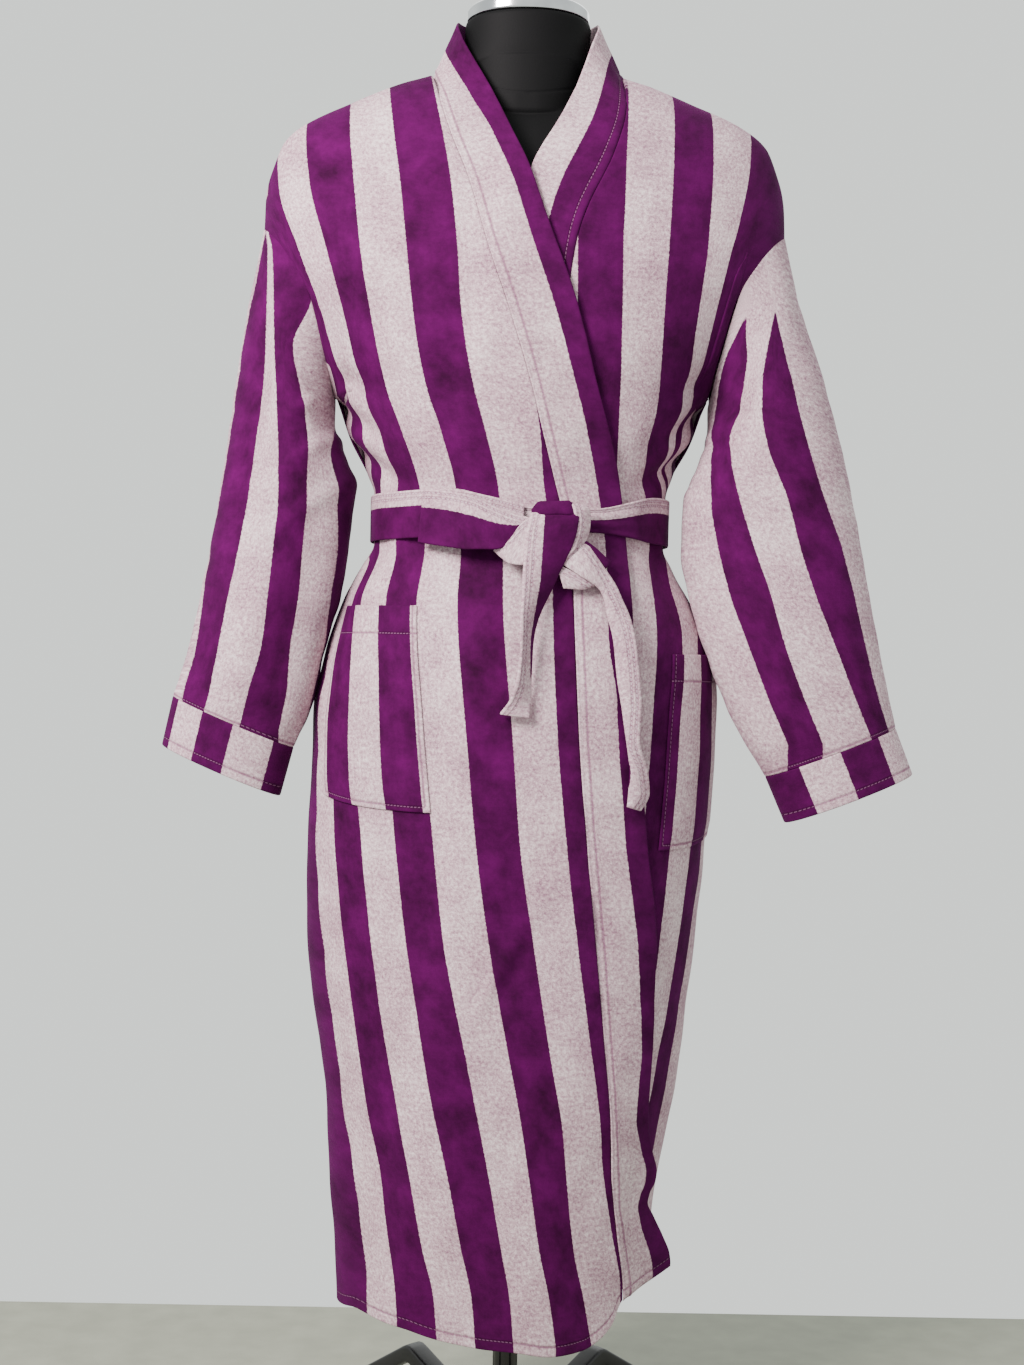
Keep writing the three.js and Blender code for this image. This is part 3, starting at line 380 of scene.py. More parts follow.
def front_grid(threads, side, step=4.0):
    """A front, from its hem to the shoulder and from its side to the collar seam, and its flat
    place. Below the underarm a point lies on a thread at its height. Above, the side keeps to
    the armhole and the top row to the shoulder line."""
    share = edge_spaced(350, step)[None, :]
    low = edge_spaced(900, step)[:-5, None]
    level = np.full_like(share, HEM_LEVEL)
    angles, places = thread_lines(threads, side, level)
    at = mix(read(threads, "sideAt", level), read(threads, "seamAt", level), share)
    base = body_point(across(at, places, angles), level)
    hem = read(FRONT_HEM, "z", base[..., 0]) if side < 0 else hem_at(base[..., 0], base[..., 1])
    z = mix(hem, UNDERARM, low)
    angles, places = thread_lines(threads, side, z)
    at = mix(read(threads, "sideAt", z), read(threads, "seamAt", z), share)
    angle = across(at, places, angles)
    lower = move_out(body_point(angle, z), drape(angle, z) * smooth((1 - share) / 0.25))
    flat_low = np.stack(np.broadcast_arrays(at, z), -1)

    level = np.concatenate([np.linspace(0, 1, 80)[:-1], [0.994, 0.998, 1]])[:, None]
    out_top = side * read(SHOULDER_WALK, "x", share)
    z = mix(UNDERARM, read(SHOULDER, "z", np.abs(out_top)), level)
    edge_x = side * read(ARMHOLE, "x", mix(UNDERARM, TIP_Z, level))
    seam_x = read(threads, "seam", z)
    angles, places = thread_lines(threads, side, z)
    at = mix(read(threads, "sideAt", z), read(threads, "seamAt", z), share)
    middle, half = section(z)
    x = middle + half * sine(across(at, places, angles))
    x = mix(x, mix(edge_x, seam_x, share), 1 - smooth(share / 0.3))
    x = mix(x, out_top, smooth((level - 0.55) / 0.45) ** (1 + 6 * share))
    x = np.where(share == 0, edge_x, np.where(share == 1, seam_x, x))
    turn = angle_of(x, z)
    fade = smooth((1 - share) / 0.25) * smooth(share / 0.1) * (1 - smooth(level / 0.5))
    upper = move_out(xyz(x, depth_at(x, z, -1), z), drape(turn, z) * fade)
    flat_up = np.stack([across(turn, angles, places), z], -1)

    points = np.concatenate([lower, upper[1:]])
    flat = np.concatenate([flat_low, flat_up[1:]])
    if side < 0:
        points = move_out(points, overlap(points[..., 0], points[..., 2]))
    return points, flat


def normals(points, ring=False):
    """Unit normals: the cross product of the steps along the columns and along the rows."""
    if ring:
        sideways = np.roll(points, -1, 1) - np.roll(points, 1, 1)
    else:
        sideways = np.gradient(points, axis=1)
    along = np.gradient(points, axis=0)
    out = np.cross(sideways, along)
    return out / np.maximum(np.linalg.norm(out, axis=-1, keepdims=True), 1e-9)


def push(points, amount, ring=False):
    """Moves a surface along its normals."""
    return points + normals(points, ring) * np.asarray(amount)[..., None]


def rim_thickness(points, thickness, ring=False, radius=1.7):
    """Wall thickness that rounds off towards the free rims: T * sqrt(1 - (1 - d / r) ** 2) within
    r of a rim, never under a twelfth of T."""
    rows, columns = points.shape[:2]
    down = np.linalg.norm(np.diff(points, axis=0), axis=-1)
    sideways = np.linalg.norm(np.diff(points, axis=1), axis=-1)
    gap = np.full((rows, columns), 1e3)
    run = np.concatenate([np.zeros((1, columns)), np.cumsum(down, 0)])
    gap = np.minimum(gap, np.minimum(run, run[-1:] - run))
    if not ring:
        run = np.concatenate([np.zeros((rows, 1)), np.cumsum(sideways, 1)], 1)
        gap = np.minimum(gap, np.minimum(run, run[:, -1:] - run))
    t = np.clip(gap / radius, 0, 1)
    return thickness * np.maximum(np.sqrt(1 - (1 - t) ** 2), 1 / 12)


def link(made):
    """Puts an object into the scene."""
    bpy.context.scene.collection.objects.link(made)


def mesh_object(name, points, faces, flat=None, marks=None):
    """A mesh object from points in millimetres and faces of equal size, with a flat place for each
    point in a UV map and marks, each one number for a point, in attributes."""
    mesh = bpy.data.meshes.new(name)
    faces = np.asarray(faces)
    size = faces.shape[1]
    mesh.vertices.add(len(points))
    mesh.vertices.foreach_set("co", (np.asarray(points) / 1000).astype(np.float32).ravel())
    mesh.loops.add(faces.size)
    mesh.loops.foreach_set("vertex_index", faces.astype(np.int32).ravel())
    mesh.polygons.add(len(faces))
    mesh.polygons.foreach_set("loop_start", np.arange(0, faces.size, size, dtype=np.int32))
    mesh.polygons.foreach_set("use_smooth", np.ones(len(faces), bool))
    if flat is not None:
        layer = mesh.uv_layers.new(name="Flat")
        layer.data.foreach_set("uv", (flat[faces.ravel()] / 1000).astype(np.float32).ravel())
    for key, values in (marks or {}).items():
        mark = mesh.attributes.new(key, "FLOAT", "POINT")
        mark.data.foreach_set("value", values.astype(np.float32).ravel())
    mesh.update(calc_edges=True)
    mesh.validate()
    made = bpy.data.objects.new(name, mesh)
    link(made)
    return made


def outward(points, faces):
    """Turns the faces round if the volume that they close comes out below zero."""
    corners = points[faces]
    a, b, c = corners[:, 0], corners[:, 1], corners[:, 2]
    volume = np.einsum("ij,ij->", a, np.cross(b, c))
    if faces.shape[1] == 4:
        volume += np.einsum("ij,ij->", a, np.cross(c, corners[:, 3]))
    return faces[:, ::-1] if volume < 0 else faces


def wall(name, points, flat, thickness=WALL, ring=False, **marks):
    """A closed wall of cloth round a surface: half the thickness to each side, joined at the rims.
    The marks are stripe, how deep a point lies in a dark stripe, and stitch_a and stitch_b, how far
    it lies past two rows of stitches."""
    rows, columns = points.shape[:2]
    both_marks = {}
    for key in ("stripe", "stitch_a", "stitch_b"):
        mark = np.broadcast_to(marks.get(key, NO_MARK), (rows, columns)).ravel()
        both_marks[key] = np.concatenate([mark, mark])
    half = normals(points, ring) * np.asarray(rim_thickness(points, thickness, ring))[..., None] / 2
    both = np.concatenate([(points + half).reshape(-1, 3), (points - half).reshape(-1, 3)])
    flats = np.concatenate([flat.reshape(-1, 2)] * 2)
    index = np.arange(rows * columns).reshape(rows, columns)
    if ring:
        index = np.concatenate([index, index[:, :1]], 1)
    count = rows * columns

    def quads(near, far):
        """Faces between two rows of points."""
        return np.stack([near[:-1], near[1:], far[1:], far[:-1]], -1)

    corners = [index[:-1, :-1], index[:-1, 1:], index[1:, 1:], index[1:, :-1]]
    outer = np.stack(corners, -1).reshape(-1, 4)
    faces = [outer, outer[:, ::-1] + count]
    faces.append(quads(index[0] + count, index[0]))
    faces.append(quads(index[-1], index[-1] + count))
    if not ring:
        faces.append(quads(index[:, 0], index[:, 0] + count))
        faces.append(quads(index[:, -1] + count, index[:, -1]))
    faces = outward(both, np.concatenate(faces))
    return mesh_object(name + "_cloth", both, faces, flats, both_marks)


def back_grid(step=4.6):
    """The back, from the hem to the shoulders and the back neck, and its flat place. Below the
    underarm a point lies at a share of the angle between the side seams. Above, x passes from the
    cosine of that share at the underarm to even steps, and then to those of the top row."""
    share = edge_spaced(560, step)[None, :]
    mirrored = np.where(share > 0.5, 1 - share, share)
    side = np.where(share > 0.5, 1, -1)
    low = edge_spaced(900, step)[:-5, None]
    level = np.full_like(share, HEM_LEVEL)
    turn = mix(-90, read(LOWER, "side", level) - 360, share)
    base = body_point(np.where(turn < -180, turn + 360, turn), level)
    z = mix(hem_at(base[..., 0], base[..., 1]), UNDERARM, low)
    angle = mix(-90, read(LOWER, "side", z) - 360, share)
    turned = np.where(angle < -180, angle + 360, angle)
    fold = np.minimum(back_fold(share, z), drape(turned, z) * smooth(mirrored / 0.06))
    lower = move_out(body_point(turned, z), fold)
    wide = np.interp(z, [150, 940, 1060], [610, 520, 520])
    flat_low = np.stack(np.broadcast_arrays((share - 0.5) * wide + DARK / 2, z), -1)

    level = np.concatenate([np.linspace(0, 1, 72)[:-1], [0.994, 0.998, 1]])[:, None]
    neck = 0.36
    by_shoulder = read(SHOULDER_WALK, "x", mirrored / neck)
    by_neck = NECK_POINT * (0.5 - mirrored) / (0.5 - neck)
    out_top = np.where(mirrored < neck, by_shoulder, by_neck)
    neck_z = mix(1381, 1382, 1 - (out_top / NECK_POINT) ** 2)
    top = np.where(out_top >= NECK_POINT, read(SHOULDER, "z", out_top), neck_z)
    z = mix(UNDERARM, top, level)
    edge_x = read(ARMHOLE, "x", mix(UNDERARM, TIP_Z, level))
    half = section(z)[1]
    even = edge_x * (1 - 2 * mirrored)
    x = mix(np.minimum(half * sine(90 - 180 * mirrored), 1.15 * even), even, 0.55)
    x = mix(x, even, 1 - smooth(mirrored / 0.15))
    x = mix(edge_x * np.cos(np.pi * mirrored), x, smooth(level / 0.35))
    x = mix(x, out_top, smooth((level - 0.35) / 0.65))
    x = side * np.where(mirrored == 0, edge_x, x)
    upper = move_out(xyz(x, depth_at(x, z, 1), z), back_fold(share, z) * (1 - smooth(level / 0.6)))
    flat_up = np.stack([mix((share - 0.5) * 520, x, smooth(level / 0.4)) + DARK / 2, z], -1)
    return np.concatenate([lower, upper[1:]]), np.concatenate([flat_low, flat_up[1:]])


# The standing collar, from the centre back to the front of the neck
COLLAR = table(
    "walk seamX seamY seamZ edgeX edgeY edgeZ",
    [0, 0, 71, 1384, 0, 74, 1447],
    [0.25, 37, 66, 1384, 35, 66, 1448],
    [0.5, 70, 46, 1384, 60, 42, 1447],
    [0.72, 88, 22, 1384, 69, 14, 1443],
    [0.88, 93.8, 2, 1382, 70, -10, 1433],
    [1, 92, -20, 1373, 64, -36, 1411],
)
BAND_TURN = 0.8
BAND_SLANT = 0.85
RIGHT_BAND_SPLIT = table(
    "z share",
    [150, 0.6], [227, 0.62], [250, 0.6], [285, 0.72], [313, 0.75], [363, 0.67], [431, 0.75],
    [530, 0.68], [624, 0.64], [763, 0.64], [820, 0.55], [900, 0.6], [985, 0.64], [1053, 0.67],
    [1148, 0.66], [1240, 0.68], [1306, 0.67], [1350, 0.56], [1440, 0.5],
)


def band_depth(x, z):
    """y of a band: on the body, and past 0.8 of the half width straight on at a slant."""
    middle, half = section(z)
    turn = middle + half * BAND_TURN
    near = depth_at(np.minimum(x, turn), z, -1)
    return near + np.maximum(x - turn, 0) * BAND_SLANT


def band_grid(threads, edge, side, lift, step=3.2):
    """A band: the standing collar, a bend over the neck point, and the strip down the front.
    A point lies at a share of the way from the collar seam to the free edge. The bend is the
    cubic that leaves the collar and meets the strip at their own slopes."""
    share = edge_spaced(BAND_WIDTH, step)
    walk = np.linspace(0, 1, 44)
    rows = {key: read(COLLAR, key, walk) for key in COLLAR if key != "walk"}
    # The lower front reaches farther out at the neck point, and its band with it
    reach = rows["seamX"] + (NECK_REACH * smooth((walk - 0.7) / 0.3) if side > 0 else 0)
    seam = xyz(side * reach, rows["seamY"], rows["seamZ"])
    free = xyz(side * rows["edgeX"], rows["edgeY"], rows["edgeZ"])
    standing = mix(seam[:, None], free[:, None], share[None, :, None])

    def on_body(x, z):
        """Points of the band at a place, lifted off the body by the layers below."""
        return move_out(xyz(x, band_depth(x, z), z), lift(x, z))

    edge_z = np.concatenate([np.arange(1358, 236, -step), np.linspace(236, 150, 26)])
    seam_z = edge_z - 16 * smooth((edge_z - 960) / 300)
    lines = []
    for lengthwise, column, z in ((threads, "seam", seam_z), (edge, "x", edge_z)):
        last = read(lengthwise, column, 170.0)
        hem = read(FRONT_HEM, "z", last) if side < 0 else hem_at(last, -105.0)
        z = z + smooth((300 - z) / 150) * (hem - 150)
        lines.append((read(lengthwise, column, z)[:, None], z[:, None]))
    (seam_x, seam_z), (free_x, free_z) = lines
    straight = mix(on_body(seam_x, seam_z), on_body(free_x, free_z), share[None, :, None])
    x, z = mix(seam_x, free_x, share), mix(seam_z, free_z, share)
    edge_z = edge_z[:, None]
    settle = smooth(np.interp(-edge_z, [-1358, -1330, -1300, -1266], [0, 1 / 3, 2 / 3, 1]))[..., None]
    lying = mix(straight, on_body(x, z), settle)

    before, a, b, after = standing[-8], standing[-1], lying[0], lying[8]
    t = np.linspace(0, 1, 17)[1:-1, None, None]
    lean_a = (b - before) * 0.5
    lean_b = (after - a) * 0.5
    bend = a * (2 * t**3 - 3 * t**2 + 1) + b * (3 * t**2 - 2 * t**3)
    bend = bend + lean_a * (t**3 - 2 * t**2 + t) + lean_b * (t**3 - t**2)
    points = np.concatenate([standing, bend, lying])
    steps = np.linalg.norm(np.diff(points[:, len(share) // 2], axis=0), axis=-1)
    length = np.concatenate([[0], np.cumsum(steps)])[:, None]
    return points, share[None, :] + 0 * length, length + 0 * share[None, :]


SLEEVE = {
    "right": table(
        "walk outX outZ inX inZ deep forward",
        [0, -258.5, 1228, -184.0, 1059, 60, 0],
        [0.1, -265.7, 1185, -187.3, 1036, 64, 2],
        [0.22, -272.3, 1139, -181.5, 1015, 66, 5],
        [0.34, -280.7, 1084, -173.2, 995, 66, 9],
        [0.46, -289.9, 1018, -165.8, 971, 63, 14],
        [0.58, -299.1, 953, -169.4, 924, 59, 19],
        [0.7, -306.2, 899, -175.9, 867, 56, 24],
        [0.82, -315.5, 839, -190.3, 812, 52, 28],
        [0.91, -325.0, 795, -200.9, 757, 47, 30],
        [1, -336.8, 761, -219.6, 713, 42, 30],
    ),
    "left": table(
        "walk outX outZ inX inZ deep forward",
        [0, 258.5, 1228, 184.0, 1059, 60, 0],
        [0.1, 266.4, 1189, 187.1, 1035, 64, 4],
        [0.22, 278.7, 1143, 181.1, 1015, 66, 9],
        [0.34, 295.5, 1092, 173.5, 994, 66, 16],
        [0.46, 312.1, 1027, 160.9, 964, 63, 24],
        [0.58, 325.7, 962, 160.3, 915, 59, 31],
        [0.7, 337.2, 898, 170.5, 862, 56, 38],
        [0.82, 349.0, 839, 191.6, 796, 52, 43],
        [0.91, 359.4, 790, 216.8, 739, 47, 45],
        [1, 369.4, 742, 245.2, 693, 42, 44],
    ),
}
CUFF_END = {
    "right": (-347.0, 713.0, -232.0, 665.0),
    "left": (387.0, 697.0, 265.0, 648.0),
}
# Stripe edges across each sleeve as they are seen from the front, from its outside
SLEEVE_STRIPES = {
    "right": table(
        "z out b0 b1 b2 b3 b4",
        [727, -348, -339, -316, -278, -237, -211],
        [767, -341, -332, -306, -269, -229, -204],
        [812, -325, -320, -298, -257, -226, -195],
        [863, -315, -314, -289, -251, -219, -190],
        [913, -310, -309, -279, -246, -216, -184],
        [963, -301, -300, -271, -242, -213, -184],
        [1013, -293, -292, -265, -243, -213, -191],
        [1063, -286, -285, -259, -246, -220, -177],
        [1113, -279, -278, -256, -249, -229, -173],
        [1163, -270, -269, -255, -250, -211, -178],
        [1208, -263, -262, -255, -252, -220, -195],
        [1225, -260, -259, -257, -256, -224, -208],
    ),
    "left": table(
        "z c0 c1 c2 c3 out",
        [724, 272, 308, 357, 378, 386],
        [768, 252, 289, 339, 362, 376],
        [823, 230, 268, 317, 348, 363],
        [873, 211, 253, 297, 336, 353],
        [922, 198, 235, 280, 322, 342],
        [972, 190, 219, 266, 303, 330],
        [1022, 191, 209, 246, 287, 318],
        [1060, 195, 219, 240, 276, 306],
        [1085, 198, 224, 240, 270, 301],
        [1110, 204, 226, 243, 263, 294],
        [1135, 215, 224, 247, 257, 287],
        [1163, 225, 225, 251, 251, 279],
        [1245, 190, 190, 230, 230, 257],
    ),
}
EYE = (-4.7, -1950.0, 780.0)


def seen(points):
    """Where a point is seen against the plane y = 0 from the camera."""
    x, y, z = np.moveaxis(points, -1, 0)
    scale = -EYE[1] / (y - EYE[1])
    return EYE[0] + (x - EYE[0]) * scale, EYE[2] + (z - EYE[2]) * scale


def sleeve_surface(name, walk, turn):
    """A sleeve: between its outside and inside outlines, deep * sin(turn) to the front and back."""
    rows = SLEEVE[name]
    t = half_round(turn)
    x = mix(read(rows, "outX", walk), read(rows, "inX", walk), t)
    z = mix(read(rows, "outZ", walk), read(rows, "inZ", walk), t)
    return xyz(x, -read(rows, "forward", walk) - read(rows, "deep", walk) * sine(turn), z)


def sleeve_grid(name, step=4.2):
    """A sleeve from the armhole to the cuff seam, with the turn round it and the walk along it of
    each point. Its root lies round the armhole, 0.7 mm out of it and up to 2.6 mm more at the
    underarm, and it passes into the free sleeve within 0.12 of the walk."""
    side = -1 if name == "right" else 1
    turn = np.linspace(0, 360, 104, endpoint=False)[None, :]
    walk = (edge_spaced(500, step) ** 1.1)[:, None]
    free = sleeve_surface(name, walk, turn)
    t = half_round(turn)
    z = mix(TIP_Z, UNDERARM, t)
    x = side * read(ARMHOLE, "x", z)
    y = depth_at(x, z, np.where(sine(turn) > 0, -1, 1))
    leave = 2.6 * smooth((t - 0.8) / 0.2) + np.where(y > 0, 1.2 * bump(t, 0.12, 0.12), 0)
    hole = xyz(x + side * (0.7 + leave), y, z - 0.8)
    points = mix(hole, free, smooth(walk / 0.12)[..., None])
    return points, turn, walk


def sleeve_flat(name, points, turn):
    """Flat place of a sleeve and its depth inside a dark stripe. In front the stripes follow their
    edges as seen, and behind they go on by the length of the cloth from the outside."""
    sx, sz = seen(points)
    stripes = SLEEVE_STRIPES[name]
    knots = [read(stripes, column, sz) for column in list(stripes)[1:]]
    if name == "right":
        front = across(sx, knots, [-2, 0, DARK, STRIPE, STRIPE + DARK, 2 * STRIPE])
        depth = inside(sx, (knots[1], knots[2]), (knots[3], knots[4]), (knots[5], 1e3))
    else:
        front = across(sx, knots, [0, DARK, STRIPE, STRIPE + DARK, STRIPE + DARK + 30])
        depth = inside(sx, (knots[0], knots[1]), (knots[2], knots[3]))
    steps = np.linalg.norm(points - np.roll(points, 1, 1), axis=-1)
    behind = np.cumsum(steps[:, ::-1], 1)[:, ::-1]
    sign = -1 if name == "right" else 1
    hidden = front[:, :1] + sign * behind
    faces_front = (turn >= 0) & (turn <= 180)
    flat = np.where(faces_front, front, hidden)
    depth = np.where(faces_front, depth, stripe_depth(hidden))
    return np.stack([flat, points[..., 2]], -1), depth


def cuff_grid(name, step=3.6):
    """A cuff: straight from the sleeve's end to its own lower edge."""
    turn = np.linspace(0, 360, 104, endpoint=False)[None, :]
    down = edge_spaced(CUFF_DEPTH, step)[:, None]
    top = sleeve_surface(name, 1.0, turn)
    out_x, out_z, in_x, in_z = CUFF_END[name]
    inwards = half_round(turn)
    low = xyz(mix(out_x, in_x, inwards), top[..., 1] * 0.98, mix(out_z, in_z, inwards))
    points = mix(top, low, down[..., None])
    share = inwards + 0 * down
    if name == "right":
        marks = [30, DARK, STRIPE, STRIPE + DARK, 2 * STRIPE, 2 * STRIPE + 20]
        front = across(share, [0, 0.076, 0.294, 0.546, 0.866, 1], marks)
        flat = np.where(turn <= 180, front, 30 - 230 * inwards)
    else:
        marks = [15, DARK, STRIPE, STRIPE + DARK, 2 * STRIPE - 4]
        front = across(1 - share, [0, 0.219, 0.523, 0.825, 1], marks)
        flat = np.where(turn <= 180, front, 2 * STRIPE - 4 + 230 * inwards)
    return points, np.stack([flat, CUFF_DEPTH * down + 0 * share], -1)


POCKETS = {
    "right": (UPPER, -1, -246.0, -90.0, 656.0, 852.0),
    "left": (LOWER, 1, 221.0, 70.0, 622.0, 810.0),
}


def pocket_grid(name, step=3.4):
    """A patch pocket: between two threads of its front, 1.5 mm off it and up to 1.6 mm fuller in
    the middle."""
    threads, side, first, last, bottom, top = POCKETS[name]
    share = edge_spaced(156, step)[None, :]
    up = edge_spaced(196, step)[:, None]
    at = mix(first, last, share)
    z = mix(bottom, top, up) + 12 * (1 - share) ** 2 * (1 - up)
    angles, places = thread_lines(threads, side, z)
    angle = across(at, places, angles)
    points = move_out(body_point(angle, z), drape(angle, z))
    if side < 0:
        points = move_out(points, overlap(points[..., 0], z))
    fuller = 1.6 * smooth(share / 0.12) * smooth((1 - share) / 0.12) * smooth(up / 0.1)
    points = move_out(points, WALL / 2 + 1.5 + fuller)
    return points, at + 0 * up, z


def belt_waist_grid():
    """The belt round the waist: the body at belt height, moved out over every layer below it, and
    drawn in to half its width and 5 mm lower at the knot."""
    angle = np.linspace(-180, 180, 280, endpoint=False)[None, :]
    up = edge_spaced(BELT_WIDTH, 3.0)[:, None]
    body = body_point(angle, BELT_HEIGHT + 0 * angle)
    x = body[..., 0]
    over = np.where(np.abs(angle) < 90, LAYER * smooth((x + 118) / 40) * smooth((128 - x) / 24), 0)
    ring = move_out(body, WALL / 2 + 0.3 + BELT_WALL / 2 + 0.5 + over)
    points = np.repeat(ring, len(up), 0)
    pinch = np.where(np.abs(angle) < 90, smooth((137 - x) / 72) * smooth((x + 60) / 60), 0)
    points[..., 2] = BELT_HEIGHT - 5 * pinch + (up - 0.5) * BELT_WIDTH * (1 - 0.5 * pinch)
    return points, up, angle, pinch


def front_surface(x, z):
    """y of the outermost layer of the front."""
    return depth_at(x, z, -1) - overlap(x, z)


# Lengths of belt. Each has two edges, a and b, by x, z and how far they stand before the front:
# a row gives the walk, then ax, az and their distance, and bx, bz and theirs
RIBBON_ROWS = {
    "belt_tail_a": [
        [0, 11, 939, 26, 56, 942, 28], [0.06, 9, 930, 31, 55, 931, 32],
        [0.11, 7, 920, 32, 53, 919, 31], [0.25, 5, 893, 32, 43, 894, 22],
        [0.41, 4, 862, 31, 29, 863, 13], [0.53, 3, 839, 31, 19, 841, 10],
        [0.66, 3, 812, 29, 14, 814, 8], [0.81, 1, 785, 25, 13, 785, 7],
        [0.91, -5, 765, 19, 13, 764, 8], [1, -15, 750, 11, 12, 747, 12],
    ],
    "belt_tail_b": [
        [0, 50, 926, 22, 38, 893, 19], [0.08, 66, 908, 22, 57, 881, 20],
        [0.17, 88, 876, 18, 77, 867, 13], [0.28, 101, 851, 18, 84, 843, 9],
        [0.38, 109, 826, 18, 90, 818, 7], [0.48, 113, 798, 17, 93, 790, 7],
        [0.63, 116, 759, 16, 99, 755, 7], [0.75, 115, 728, 15, 104, 724, 7],
        [0.87, 124, 697, 11, 107, 697, 8], [0.95, 126, 676, 9, 106, 676, 9],
        [1, 118, 661, 8, 105, 665, 10],
    ],
    "belt_loop": [
        [0, 13, 934, 24, 10, 918, 24], [0.08, -7, 938, 25, -7, 909, 24],
        [0.17, -25, 945, 25, -24, 904, 25], [0.28, -48, 955, 24, -47, 904, 24],
        [0.39, -71, 960, 22, -70, 907, 22], [0.46, -88, 962, 18.5, -92, 911, 18.5],
        [0.5, -91, 962, 14.5, -96, 912, 14.5], [0.54, -88, 962, 10.5, -92, 911, 10.5],
        [0.66, -64, 962, 8, -64, 914, 8], [0.82, -30, 956, 8, -30, 910, 8],
        [1, 4, 948, 8.5, 4, 906, 8.5],
    ],
    "belt_wrap": [
        [0, 47, 949, 24, 62, 948, 20], [0.25, 50, 944, 30, 66, 941, 24],
        [0.5, 52, 931, 31, 66, 929, 24], [0.8, 48, 911, 28, 59, 908, 21],
        [1, 38, 901, 24, 45, 893, 20],
    ],
    "belt_fold": [
        [0, 14, 936, 28, 9, 891, 26], [0.3, 5, 932, 28, 3, 889.5, 25],
        [0.6, -9, 917, 25, -9, 891, 22], [0.82, -18, 911, 21, -17, 897, 19],
        [1, -24.5, 906.5, 17, -24, 903, 16.5],
    ],
    "belt_hump": [
        [0, 11, 937, 22, 11, 942, 15], [0.25, 21, 937, 30, 19, 950, 24],
        [0.5, 34, 938, 32, 33, 950, 27], [0.8, 45, 938, 32, 45, 951, 26],
        [1, 55, 938, 26, 54, 945, 18],
    ],
    "belt_flap": [
        [0, 50, 920, 24, 60, 903, 17], [0.47, 69, 909, 22, 69, 898, 16],
        [0.85, 82, 898, 18, 78, 890, 14], [1, 86, 895, 15, 80, 886, 12],
    ],
    "belt_tip": [
        [0, 34, 893, 17, 42, 869, 11], [0.6, 58, 881, 16, 60, 868, 12], [1, 72, 874, 12, 71, 872, 10],
    ],
}
RIBBONS = {name: table("walk ax az aoff bx bz boff", *rows) for name, rows in RIBBON_ROWS.items()}
# Share of a ribbon's width, from edge a, where the dark part starts: above 1 it is all pale, and
# below 0 all dark
ALL_PALE = table("walk share", [0, 1.3], [1, 1.3])
ALL_DARK = table("walk share", [0, -0.3], [1, -0.3])
RIBBON_SPLIT = {
    "belt_tail_a": table(
        "walk share",
        [0, 0.27], [0.11, 0.33], [0.25, 0.41], [0.41, 0.54],
        [0.55, 0.68], [0.66, 0.7], [0.8, 0.86], [0.92, 1.3],
    ),
    "belt_tail_b": table("walk share", [0, 1.4], [0.75, 1.3], [0.86, 0.9], [1, 1.2]),
    "belt_loop": table("walk share", [0, 0.38], [0.2, 0.38], [0.4, 0.34], [1, 0.34]),
    "belt_wrap": ALL_PALE,
    "belt_fold": ALL_PALE,
    "belt_hump": ALL_DARK,
    "belt_flap": ALL_DARK,
    "belt_tip": ALL_PALE,
}


def ribbon_grid(name, length, under=0.0):
    """A length of belt between its two edges: straight from edge a to edge b at each place of its
    walk, and bowed forward by 2 * (1 - (2 across - 1) ** 2). Where under is above 0, that share of
    its width is folded back beneath it at edge a, 4 mm behind, round a small bend."""
    rows = RIBBONS[name]
    walk = edge_spaced(length, 3.0)[:, None]
    width = edge_spaced(44, 2.4)
    if under:
        behind = np.linspace(under, 0.09, 7)
        fold = [-0.05, -0.03, -0.012, 0, 0.012, 0.03]
        width = np.concatenate([-behind, fold, width[width > 0.05]])
    width = width[None, :]
    over = width
    beneath = 0 * width
    if under:
        over = np.sqrt(width**2 + 0.0004) - 0.02 * (1 - np.clip(np.abs(width) / 0.3, 0, 1))
        beneath = 4.0 * smooth((0.03 - width) / 0.06)
    x = mix(read(rows, "ax", walk), read(rows, "bx", walk), over)
    z = mix(read(rows, "az", walk), read(rows, "bz", walk), over)
    off = mix(read(rows, "aoff", walk), read(rows, "boff", walk), over)
    y = front_surface(x, z) - off - 2.0 * (1 - (2 * over - 1) ** 2) + beneath
    return xyz(x, y, z), over + 0 * walk, walk + 0 * over


def knot_core_grid():
    """The stuffed heart of the knot: a round patch before the belt, 48 mm wide and 44 mm high,
    that is 19 * (1 - wide ** 2 - high ** 2) ** 0.5 thick, where wide and high run from -1 to 1."""
    a = np.linspace(-0.999, 0.999, 30)[None, :]
    b = np.linspace(-0.999, 0.999, 26)[:, None]
    wide = a * np.sqrt(1 - b * b / 2)
    high = b * np.sqrt(1 - a * a / 2)
    x = 33 + 24 * wide
    z = 922 + 22 * high
    y = front_surface(x, z) - 17.0
    swell = 19 * np.sqrt(np.maximum(1 - wide**2 - high**2, 0.004))
    return xyz(x, y, z), np.stack([x, z], -1), swell


def linear(hex_value):
    """An sRGB hex value as an opaque linear colour."""
    parts = [int(hex_value[i : i + 2], 16) / 255 for i in (1, 3, 5)]
    return tuple(c / 12.92 if c <= 0.04045 else ((c + 0.055) / 1.055) ** 2.4 for c in parts) + (1.0,)


def node(tree, kind, feeds=None, **settings):
    """Adds a node. Settings are its properties, feeds its inputs: a value, or a socket to link."""
    made = tree.nodes.new(kind)
    for name, value in settings.items():
        setattr(made, name, value)
    for key, value in (feeds or {}).items():
        if isinstance(value, bpy.types.NodeSocket):
            tree.links.new(value, made.inputs[key])
        else:
            made.inputs[key].default_value = value
    return made


def math(tree, operation, a, b=0.0, c=0.0):
    """The outcome of a sum on numbers or sockets."""
    return node(tree, "ShaderNodeMath", {0: a, 1: b, 2: c}, operation=operation).outputs[0]


